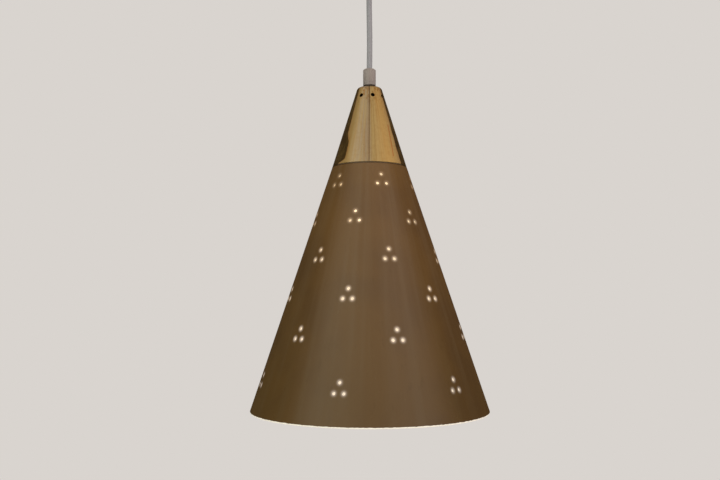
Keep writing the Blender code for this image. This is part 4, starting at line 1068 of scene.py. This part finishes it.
def grub_screw(name, radius, tip, end, z):
    """A headless screw along Y at the back, with a slot across its end."""
    screw = rod(name, (0, (tip + end) / 2, z), TO_BACK, radius, end - tip, 32)
    soften(screw, 0.2 * MM)
    reach, half_slot, depth = radius * 1.2, 0.22 * MM, 0.7 * MM
    low, high = (-reach, end - depth, z - half_slot), (reach, end + MM, z + half_slot)
    cut(screw, block("slot", low, high))
    return screw


def make_cord(cord):
    """The free cord from the grip up to its end in the ceiling cup, with the slightest sway."""
    exit_place = (0, 0, CORD_LOW.z)
    height = CORD_HIGH.z - CORD_LOW.z
    sway, count = 0.25 * MM, 24
    points = []
    for i in range(count + 1):
        t = i / count
        points.append((sway * math.sin(2 * math.pi * t), 0, CORD_LOW.z + height * t))
    line = wire("white_cord", points, cord.diameter)
    finish_piece(line, "cord", "hanger", "white_pvc", "sheath")
    return line, exit_place, height


def make_ceiling_cup(ceiling):
    """The moulded cup that hides the hook, with its outlet and grub screw."""
    cord = bpy.context.scene.lamp_cord
    outlet, rim_z = CUP_LOW.z, CUP_HIGH.z
    rim = CUP_HIGH.x
    bore = cord.diameter / 2 + GAP
    bowl_top = outlet + ceiling.collar_height + ceiling.bowl_depth
    start = math.degrees(math.acos(ceiling.collar_radius / rim))
    inner = rim - ceiling.cup_wall
    hollow = ceiling.bowl_depth - ceiling.cup_wall
    back = math.degrees(math.acos(bore / inner))
    bowl = oval((0, bowl_top), rim, ceiling.bowl_depth, 0, -start, 18)
    inside = oval((0, bowl_top), inner, hollow, -back, 0, 18)
    profile = [(rim, rim_z)] + bowl + [(ceiling.collar_radius, outlet), (bore, outlet)]
    profile += inside + [(inner, rim_z)]
    cup = turn("moulded_ceiling_cup", profile)
    soften(cup, 0.4 * MM, 3)
    screw_radius = 1.5 * MM
    screw_z = outlet + ceiling.collar_height * 0.45
    middle = (0, (bore + ceiling.collar_radius) / 2, screw_z)
    length = (ceiling.collar_radius - bore) * 1.7
    cut(cup, rod("hole", middle, TO_BACK, screw_radius + GAP, length))
    finish_piece(cup, "ceiling_cup", "cup", "white_plastic", "plastic")
    screw = grub_screw("cup_set_screw", screw_radius, bore, ceiling.collar_radius, screw_z)
    finish_piece(screw, "cup_grub_screw", "cup", "zinc_plated_steel", "steel")
    return cup


def slot_cutter(middle_x, length, width, low, high):
    """A slot with round ends along X."""
    reach = (length - width) / 2
    bar = block("slot", (middle_x - reach, -width / 2, low), (middle_x + reach, width / 2, high))
    for side in (-1, 1):
        middle = (middle_x + side * reach, 0, (low + high) / 2)
        combine(bar, rod("slot_end", middle, UP, width / 2, high - low, 32), "UNION")
    return bar


def make_ceiling_fixing():
    """The plate, bush and hook that stay on the ceiling, and the ring that hangs from the hook."""
    low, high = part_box("mounting_plate")
    profile = [(high.x, high.z), (high.x, low.z), (0, low.z)]
    plate = turn("round_mounting_plate", profile, closed=False)
    slot_length, slot_width = 9 * MM, 4.5 * MM
    for side in (-1, 1):
        slot_x = side * (high.x - 7 * MM)
        cut(plate, slot_cutter(slot_x, slot_length, slot_width, low.z - MM, high.z + MM))
    soften(plate, 0.3 * MM)
    finish_piece(plate, "mounting_plate", "ceiling_fixing", "zinc_plated_steel", "steel")

    low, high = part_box("hook_bush")
    hook_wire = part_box("ceiling_hook")[1].x * 2
    bore = hook_wire / 2 + GAP
    roof = high.z - MM
    profile = [(high.x, high.z), (high.x, low.z), (bore, low.z), (bore, roof), (0, roof)]
    bush = turn("hexagon_bush", profile, 6, closed=False)
    soften(bush, 0.25 * MM)
    finish_piece(bush, "hook_bush", "ceiling_fixing", "zinc_plated_steel", "steel")

    hook_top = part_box("ceiling_hook")[1].z
    ring_low, ring_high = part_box("suspension_ring")
    ring_wire = ring_high.y * 2
    neck, bowl = 4.5 * MM, 5.5 * MM
    sweep = math.degrees(math.acos(neck / (neck + bowl)))
    neck_z = low.z - MM
    bowl_z = neck_z - (neck + bowl) * math.sin(math.radians(sweep))
    line = [(0, hook_top)] + arc((neck, neck_z), neck, -180, -180 + sweep, 10)
    line += arc((0, bowl_z), bowl, sweep, -200, 32)[1:]
    hook = to_mesh(wire("bent_hook", [(0, y, z) for y, z in line], hook_wire))
    soften(hook, 0.4 * MM, 2, 50)
    finish_piece(hook, "ceiling_hook", "ceiling_fixing", "zinc_plated_steel", "steel")

    deselect_all()
    major = (ring_high.x - ring_low.x - ring_wire) / 2
    centre = Vector((0, 0, (ring_low.z + ring_high.z) / 2))
    bpy.ops.mesh.primitive_torus_add(
        major_segments=72,
        minor_segments=20,
        major_radius=major,
        minor_radius=ring_wire / 2,
        location=centre,
        rotation=(math.radians(90), 0, 0),
    )
    ring = named("welded_ring")
    weld_place, weld_half, weld_rise = 70, 12, 0.06  # degrees, degrees, share of the wire
    for vertex in ring.data.vertices:
        out = (vertex.co - centre) * Vector((1, 0, 1))
        along = math.degrees(math.atan2(out.x, -out.z)) - weld_place
        if abs(along) < weld_half:
            core = centre + out.normalized() * major
            swell = weld_rise * math.cos(math.radians(90 * along / weld_half))
            vertex.co = core + (vertex.co - core) * (1 + swell)
    finish_piece(ring, "suspension_ring", "suspension_ring", "zinc_plated_steel", "steel")


def round_head_screw(name, low, high, head):
    """A slotted screw along X between two corners of its box, its head on the +X side."""
    radius = (high.y - low.y) / 2
    shank = radius * 0.54
    y, z = (low.y + high.y) / 2, (low.z + high.z) / 2
    top = [(radius * 0.62, 0), (radius * 0.9, -head * 0.45), (radius, -head), (shank, -head)]
    tip = low.x - high.x
    profile = top + [(shank, tip + 0.4 * MM), (shank * 0.7, tip), (0, tip)]
    screw = turn(name, profile, 32, closed=False)
    reach, half_slot = radius * 1.2, 0.3 * MM
    cut(screw, block("slot", (-half_slot, -reach, -head * 0.55), (half_slot, reach, head)))
    place = Matrix.Translation((high.x, y, z)) @ Matrix.Rotation(math.radians(90), 4, "Y")
    screw.data.transform(place)
    return screw


def make_strap(saddle_spots, block_z):
    """The strap that hangs from the ring by its eye, and is bent back to carry the rest."""
    low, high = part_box("cord_hanger")
    ring_low, ring_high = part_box("suspension_ring")
    wire_radius = ring_high.y
    thickness = high.x * 2
    eye_radius = 3.0 * MM
    eye_z = ring_low.z + wire_radius * 2 + GAP - eye_radius
    face = low.x + thickness / 2
    jog_top = eye_z - eye_radius - 2 * MM
    deselect_all()
    on_edge = (0, math.radians(90), 0)
    bpy.ops.mesh.primitive_plane_add(size=high.y * 2, location=(0, 0, high.z), rotation=on_edge)
    strap = named("bent_strap")
    for vertex in strap.data.vertices:
        vertex.co.z = high.z if vertex.co.z > high.z else jog_top
    bpy.ops.object.mode_set(mode="EDIT")
    for bend in ((face, 0, face), (0, 0, low.z - jog_top - face)):
        bpy.ops.mesh.select_all(action="DESELECT")
        mesh = bmesh.from_edit_mesh(strap.data)
        lowest = min(vertex.co.z for vertex in mesh.verts)
        for vertex in mesh.verts:
            vertex.select = abs(vertex.co.z - lowest) < 0.01 * MM
        mesh.select_flush(True)
        bmesh.update_edit_mesh(strap.data)
        bpy.ops.mesh.extrude_edges_move(TRANSFORM_OT_translate={"value": bend})
    bpy.ops.object.mode_set(mode="OBJECT")
    apply_modifier(strap, "SOLIDIFY", thickness=thickness, offset=0, use_even_offset=True)
    cut(strap, rod("eye", (0, 0, eye_z), ACROSS, eye_radius, thickness * 4, DRILL_SIDES))
    for y, z in [(0, block_z), *saddle_spots]:
        cut(strap, rod("hole", (face, y, z), ACROSS, SCREW_HOLE, thickness * 3))
    soften(strap, 0.35 * MM, 3, 50)
    finish_piece(strap, "cord_hanger", "hanger", "zinc_plated_steel", "steel")


def make_terminal_block(low, high):
    """The connector block, bored for its brass barrels and their screws."""
    middle = (low + high) / 2
    barrel_low, barrel_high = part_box("block_barrel_neutral")
    barrel_y = (barrel_low.y + barrel_high.y) / 2
    bore = (barrel_high.y - barrel_low.y) / 2 + GAP
    shaft_radius = shaft_depth = 1.6 * MM
    clamp = block("connector_block", low, high)
    soften(clamp, 0.7 * MM, 3)
    for y in (-barrel_y, barrel_y):
        cut(clamp, rod("bore", (middle.x, y, middle.z), UP, bore, THROUGH, DRILL_SIDES))
        spot = (high.x, y, middle.z)
        cut(clamp, rod("screw_shaft", spot, ACROSS, shaft_radius, shaft_depth, 32))
    cut(clamp, rod("hole", middle, ACROSS, SCREW_HOLE, THROUGH))
    finish_piece(clamp, "terminal_block", "hanger", "white_plastic", "plastic")


def make_hanger(cord):
    """The strap, saddle, terminal block and their screws, inside the ceiling cup."""
    block_low, block_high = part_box("terminal_block")
    saddle_low, saddle_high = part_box("cord_saddle")
    saddle_z = (saddle_low.z + saddle_high.z) / 2
    spread = saddle_high.y - 2.4 * MM
    spots = [(-spread, saddle_z), (spread, saddle_z)]
    make_strap(spots, (block_low.z + block_high.z) / 2)

    saddle = block("cord_clamp_saddle", saddle_low, saddle_high)
    soften(saddle, 0.9 * MM, 4)
    channel = cord.diameter / 2 + GAP
    cut(saddle, rod("channel", (0, 0, saddle_z), UP, channel, THROUGH, DRILL_SIDES))
    for y, z in spots:
        cut(saddle, rod("hole", (0, y, z), ACROSS, SCREW_HOLE, THROUGH))
    finish_piece(saddle, "cord_saddle", "hanger", "white_plastic", "plastic")

    make_terminal_block(block_low, block_high)
    for node in ("saddle_screw_left", "saddle_screw_right", "block_screw"):
        screw = round_head_screw("slotted_" + node, *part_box(node), head=1.5 * MM)
        finish_piece(screw, node, "hanger", "zinc_plated_steel", "steel")


def make_nut(brass):
    """The chamfered brass lock nut under the top of the brass cone."""
    low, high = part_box("lock_nut")
    corner = max(high.x, high.y)
    chamfer = 0.5 * MM
    profile = [
        (corner * 0.93, high.z),
        (corner, high.z - chamfer),
        (corner, low.z + chamfer),
        (corner * 0.93, low.z),
        (brass.bore, low.z),
        (brass.bore, high.z),
    ]
    nut = turn("chamfered_lock_nut", profile, 6)
    finish_piece(nut, "lock_nut", "lamp", "aged_brass", "small_brass", smooth=20)


def make_holder():
    """The black bakelite holder: its domed cap and its grooved barrel."""
    cap_low, cap_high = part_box("holder_cap")
    barrel_low, barrel_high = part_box("holder_barrel")
    radius = cap_high.x
    boss = 8.0 * MM
    bore = 5.3 * MM
    wall = 2.0 * MM
    dome_z = cap_low.z + 4.0 * MM
    dome_height = 16.0 * MM
    dome = oval((boss, dome_z), radius - boss, dome_height, 90, 0, 12)
    hollow_radius = radius - wall
    hollow_height = dome_height - wall
    hollow = oval((0, dome_z), hollow_radius, hollow_height, 0, 66, 10)
    mouth = dome_z + hollow_height * math.sqrt(1 - (bore / hollow_radius) ** 2)
    profile = [(boss, cap_high.z)] + dome + [(radius, cap_low.z), (hollow_radius, cap_low.z)]
    profile += hollow + [(bore, mouth), (bore, cap_high.z)]
    cap = turn("bakelite_cap", profile)
    soften(cap, 0.4 * MM, 3, 50)
    finish_piece(cap, "holder_cap", "lamp", "black_bakelite", "bakelite")

    top = cap_low.z - GAP
    spigot = hollow_radius - GAP
    inner = 14.35 * MM
    groove = 0.5 * MM
    profile = [(spigot, barrel_high.z), (spigot, top), (radius, top)]
    for i in range(4):
        z = top - (5 + 5 * i) * MM
        profile += [(radius, z), (radius - groove, z - groove), (radius - groove, z - 3 * groove)]
        profile += [(radius, z - 4 * groove)]
    profile += [(radius, barrel_low.z), (inner, barrel_low.z), (inner, barrel_high.z)]
    barrel = turn("grooved_barrel", profile)
    soften(barrel, 0.3 * MM)
    finish_piece(barrel, "holder_barrel", "lamp", "black_bakelite", "bakelite")


def roll_thread(piece, bulb, top, bottom):
    """Roll a rounded screw thread into a thin tube between two heights."""
    fade = bulb.thread_pitch / 3
    for vertex in piece.data.vertices:
        x, y, z = vertex.co
        if bottom < z < top:
            ease = min(1, (top - z) / fade, (z - bottom) / fade)
            wave = math.cos(2 * math.pi * z / bulb.thread_pitch - math.atan2(y, x))
            scale = 1 + ease * wave * bulb.thread_depth / 2 / math.hypot(x, y)
            vertex.co = (x * scale, y * scale, z)


def threaded_tube(name, bulb, radius, wall, top, bottom, thread_top, lip=None):
    """A thin tube with a thread in its lower part, turned in at a lip if it has one."""
    count = 72
    rows = [thread_top + (bottom - thread_top) * i / count for i in range(count + 1)]
    outside = [(radius + wall / 2, z) for z in rows]
    inside = [(radius - wall / 2, z) for z in reversed(rows)]
    if lip:
        start = [(lip, top), (radius, top)]
        end = [(radius - wall, top - wall), (lip, top - wall)]
    else:
        start, end = [(radius + wall / 2, top)], [(radius - wall / 2, top)]
    piece = turn(name, start + outside + inside + end, 72)
    roll_thread(piece, bulb, thread_top, bottom + bulb.thread_pitch / 4)
    return piece


def make_socket(bulb):
    """The threaded brass shell that takes the bulb."""
    low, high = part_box("socket_shell")
    wall = 0.5 * MM
    play = 0.45 * MM
    radius = bulb.thread_radius + play + wall / 2
    thread_top = low.z + 15.4 * MM
    shell = threaded_tube("rolled_socket_shell", bulb, radius, wall, high.z, low.z, thread_top)
    finish_piece(shell, "socket_shell", "lamp", "aged_brass", "socket_brass", smooth=60)


def make_bulb(bulb):
    """The frosted bulb with its threaded base, black insulator and solder tip."""
    low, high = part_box("bulb_base")
    base_end = low.z
    wall = 0.4 * MM
    radius = bulb.thread_radius - wall / 2
    lip = 8.3 * MM
    thread_top = high.z - 1.2 * MM
    base = threaded_tube("rolled_bulb_base", bulb, radius, wall, high.z, low.z, thread_top, lip)
    finish_piece(base, "bulb_base", "bulb", "nickel", "base_metal", smooth=60)

    low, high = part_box("bulb_insulator")
    tip_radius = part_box("bulb_tip")[1].x
    profile = [(tip_radius, high.z), (high.x, low.z + 0.4 * MM), (high.x, low.z), (0, low.z)]
    insulator = turn("vitrite_insulator", profile, 64, closed=False)
    soften(insulator, 0.3 * MM)
    finish_piece(insulator, "bulb_insulator", "bulb", "black_glass", "black_glass")

    low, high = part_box("bulb_tip")
    round_part = (high.z - low.z) * 0.6
    dome = oval((0, high.z - round_part), high.x, round_part, 0, 84, 8)
    profile = [(high.x, low.z)] + dome + [(0, high.z)]
    tip = turn("solder_contact", profile, 48, closed=False)
    finish_piece(tip, "bulb_tip", "bulb_contact", "solder", "solder")

    neck = bulb.thread_radius - wall - bulb.thread_depth / 2 - GAP
    centre = BULB_LOW.z + bulb.radius
    rise = min((base_end - centre) * 0.4, bulb.radius * 0.8)
    latitude = math.asin(rise / bulb.radius)
    ball = arc((0, centre), bulb.radius, math.degrees(latitude), -87, 28)
    join_at = Vector((*ball[0], 0))
    along = Vector((math.sin(latitude), -math.cos(latitude), 0))
    start = Vector((neck, base_end, 0))
    ease = (start.y - join_at.y) / 3
    handles = start - Vector((0, ease, 0)), join_at - along * ease
    bend = interpolate_bezier(start, *handles, join_at, 14)
    profile = [(neck, BULB_HIGH.z), (neck, base_end + MM)] + [(p.x, p.y) for p in bend[:-1]]
    profile += ball + [(0, BULB_LOW.z)]
    glass = turn("frosted_bulb", profile, closed=False)
    finish_piece(glass, "bulb_glass", "bulb", "frosted_glass", "lit_glass", smooth=60)


def dress_small_parts():
    """Finish the CAD nodes whose own shape stays."""
    finishes = {
        "sheath": ("cord_tail",),
        "brown_core": ("upper_core_live", "lower_core_live"),
        "blue_core": ("upper_core_neutral", "lower_core_neutral"),
        "small_brass": ("block_barrel_live", "block_barrel_neutral", "terminal_screw_live"),
        "socket_brass": ("terminal_screw_neutral", "centre_contact"),
        # The collar takes the enamel with its painted glow
        "enamel": ("joining_collar",),
        "steel": ("threaded_nipple",),
        "porcelain": ("holder_insert",),
        "clear_glass": ("bulb_stem",),
        "solder": ("lead_wire_1", "lead_wire_2"),
        "tungsten": ("filament",),
    }
    for finish, nodes in finishes.items():
        for node in nodes:
            dress_node(node, material_of(finish))


# Stage


def make_camera(stage):
    """The camera at the photograph's viewpoint."""
    data = bpy.data.cameras.new("camera")
    data.sensor_width = 36
    data.lens = stage.lens
    camera = bpy.data.objects.new("camera", data)
    bpy.context.collection.objects.link(camera)
    camera.location = (stage.camera_side, -stage.distance, SHADE_LOW.z + stage.camera_rise)
    camera.rotation_euler = (math.radians(90 + stage.pitch), 0, 0)
    bpy.context.scene.camera = camera


def shown_rays(add):
    """1 for rays from the camera, off gloss or through glass, which show the background."""
    rays = add("rays").node.outputs
    shown = rays["Is Camera Ray"]
    for name in ("Is Glossy Ray", "Is Transmission Ray"):
        shown = add("maximum", shown, rays[name])
    return shown


def make_world(stage):
    """A pale background for the camera, gloss and glass, and a softer glow for the rest."""
    world = bpy.data.worlds.new("studio")
    bpy.context.scene.world = world
    world.use_nodes = True
    world.node_tree.nodes.clear()
    add = partial(add_node, world.node_tree)
    glow = 0.24
    strength = add("straight", shown_rays(add), 0, 1, glow, 1)
    add("world_output", add("background", linear(stage.background), strength))


def make_floor(stage):
    """A wide pale floor that fades into the background far away."""
    deselect_all()
    level = SHADE_LOW.z - stage.floor_drop
    bpy.ops.mesh.primitive_plane_add(size=60, location=(0, 0, level))
    floor = named("floor")
    colour = linear(stage.floor)
    material, add, shader = start_material("pale_floor", Roughness=0.8, Base_Color=colour)
    near, far, near_share = 0.3, 2.6, 0.45
    fade = add("eased", from_axis(add, add("coordinates")), near, far, near_share, 1)
    factor = add("multiply", fade, shown_rays(add))
    background = add("emission", linear(stage.background), 1)
    surface = add("mixed_shader", factor, shader.outputs[0], background)
    fill(material.node_tree.nodes["Material Output"], {"Surface": surface})
    floor.data.materials.append(material)


# Softboxes: degrees to the right of the front, distance and rise in m, width and height in m,
# watts, colour, and whether gloss shows them
SOFTBOXES = {
    "left_softbox": (-44, 1.9, 0.25, 2.0, 2.0, 14, "#eefce8", True),
    "right_softbox": (58, 1.9, 0.2, 2.6, 2.0, 13, "#fdf3ec", True),
    "front_softbox": (12, 2.6, 1.3, 2.6, 1.4, 18.5, "#fff9f2", False),
    "top_softbox": (12, 0.75, 1.05, 0.7, 0.7, 5.5, "#fff9f2", False),
    "back_softbox": (186, 3, 0.8, 2.8, 1.4, 50, "#fff9f2", False),
}


def add_light(name, kind, place, power, hex_value):
    """A light of a kind at a place, with its power in watts."""
    data = bpy.data.lights.new(name, kind)
    data.energy = power
    data.color = linear(hex_value)[:3]
    light = bpy.data.objects.new(name, data)
    bpy.context.collection.objects.link(light)
    light.location = place
    return light


def make_lights():
    """Softboxes left and right of the camera, in front above it, near the top and behind.

    A faint light below the bulb gives the shade's inside its form.
    """
    aim = Vector((0, 0, SHADE_LOW.z + 0.17))
    for name, settings in SOFTBOXES.items():
        turned, distance, rise, width, height, power, colour, glossy = settings
        place = front_direction(turned) * distance + UP * rise
        light = add_light(name, "AREA", place, power, colour)
        light.data.shape = "RECTANGLE"
        light.data.size, light.data.size_y = width, height
        light.visible_camera = False
        light.visible_glossy = glossy
        light.rotation_euler = (aim - place).to_track_quat("-Z", "Y").to_euler()
    inner = add_light("inner_light", "POINT", (0, 0, BULB_LOW.z - 0.06), 0.03, "#ffeccc")
    inner.data.shadow_soft_size = 0.03


# Operators


class LAMP_OT_cord(bpy.types.Operator):
    """Model the free cord"""

    bl_idname = "lamp.cord"
    bl_label = "Cord"

    def execute(self, context):
        line, exit_place, height = make_cord(context.scene.lamp_cord)
        context.scene["lamp_cord_exit"] = exit_place
        context.scene["lamp_cord_length"] = height
        context.scene["lamp_cord_name"] = line.name
        return {"FINISHED"}


class LAMP_OT_ceiling_cup(bpy.types.Operator):
    """Model the ceiling cup and its grub screw"""

    bl_idname = "lamp.ceiling_cup"
    bl_label = "Ceiling Cup"

    def execute(self, context):
        scene = context.scene
        cup = make_ceiling_cup(scene.lamp_ceiling)
        return {"FINISHED"}


class LAMP_OT_shade(bpy.types.Operator):
    """Model the painted shade with its rolled rim and punched holes"""

    bl_idname = "lamp.shade"
    bl_label = "Shade"

    def execute(self, context):
        make_shade(context.scene.lamp_shade)
        return {"FINISHED"}


class LAMP_OT_brass_cap(bpy.types.Operator):
    """Model the brass cone and the lock nut under it"""

    bl_idname = "lamp.brass_cap"
    bl_label = "Brass Cone"

    def execute(self, context):
        make_brass_cap(context.scene.lamp_brass)
        make_nut(context.scene.lamp_brass)
        return {"FINISHED"}


class LAMP_OT_grip(bpy.types.Operator):
    """Model the cord grip, its screw and its washer"""

    bl_idname = "lamp.grip"
    bl_label = "Cord Grip"

    def execute(self, context):
        make_grip(context.scene.lamp_cord)
        return {"FINISHED"}


class LAMP_OT_ceiling_fixing(bpy.types.Operator):
    """Model the plate, bush, hook and ring"""

    bl_idname = "lamp.ceiling_fixing"
    bl_label = "Ceiling Fixing"

    def execute(self, context):
        make_ceiling_fixing()
        return {"FINISHED"}


class LAMP_OT_hanger(bpy.types.Operator):
    """Model the strap, saddle and terminal block"""

    bl_idname = "lamp.hanger"
    bl_label = "Cord Hanger"

    def execute(self, context):
        make_hanger(context.scene.lamp_cord)
        return {"FINISHED"}


class LAMP_OT_holder(bpy.types.Operator):
    """Model the bulb holder and its threaded shell"""

    bl_idname = "lamp.holder"
    bl_label = "Bulb Holder"

    def execute(self, context):
        make_holder()
        make_socket(context.scene.lamp_bulb)
        return {"FINISHED"}


class LAMP_OT_bulb(bpy.types.Operator):
    """Model the bulb"""

    bl_idname = "lamp.bulb"
    bl_label = "Bulb"

    def execute(self, context):
        make_bulb(context.scene.lamp_bulb)
        return {"FINISHED"}


class LAMP_OT_small_parts(bpy.types.Operator):
    """Finish the wires, screws and inner parts"""

    bl_idname = "lamp.small_parts"
    bl_label = "Small Parts"

    def execute(self, context):
        dress_small_parts()
        return {"FINISHED"}


class LAMP_OT_stage(bpy.types.Operator):
    """Set up the camera, floor, background and lights"""

    bl_idname = "lamp.stage"
    bl_label = "Stage"

    def execute(self, context):
        stage = context.scene.lamp_stage
        make_camera(stage)
        make_world(stage)
        make_floor(stage)
        make_lights()
        context.scene.view_settings.view_transform = "Standard"
        return {"FINISHED"}


OPERATORS = [
    LAMP_OT_stage,
    LAMP_OT_cord,
    LAMP_OT_ceiling_cup,
    LAMP_OT_shade,
    LAMP_OT_brass_cap,
    LAMP_OT_grip,
    LAMP_OT_ceiling_fixing,
    LAMP_OT_hanger,
    LAMP_OT_holder,
    LAMP_OT_bulb,
    LAMP_OT_small_parts,
]


class LAMP_PT_panel(bpy.types.Panel):
    """The lamp's pieces and settings in the sidebar"""

    bl_label = "Pendant Lamp"
    bl_idname = "LAMP_PT_panel"
    bl_space_type = "VIEW_3D"
    bl_region_type = "UI"
    bl_category = "Lamp"

    def draw(self, context):
        for operator in OPERATORS:
            self.layout.operator(operator.bl_idname)
        for name, group in GROUPS.items():
            box = self.layout.box()
            box.label(text=group.__doc__)
            for key in group.__annotations__:
                box.prop(getattr(context.scene, name), key)


def register():
    """Register the classes and hang the settings on the scene."""
    for group in [*GROUPS.values(), *OPERATORS, LAMP_PT_panel]:
        bpy.utils.register_class(group)
    for name, group in GROUPS.items():
        setattr(bpy.types.Scene, name, PointerProperty(type=group))


def unregister():
    """Take the settings and the classes away again."""
    for name in GROUPS:
        delattr(bpy.types.Scene, name)
    for group in reversed([*GROUPS.values(), *OPERATORS, LAMP_PT_panel]):
        bpy.utils.unregister_class(group)


def main():
    """Build the lamp step by step."""
    register()
    for operator in OPERATORS:
        section, name = operator.bl_idname.split(".")
        getattr(getattr(bpy.ops, section), name)()


if __name__ == "__main__":
    main()
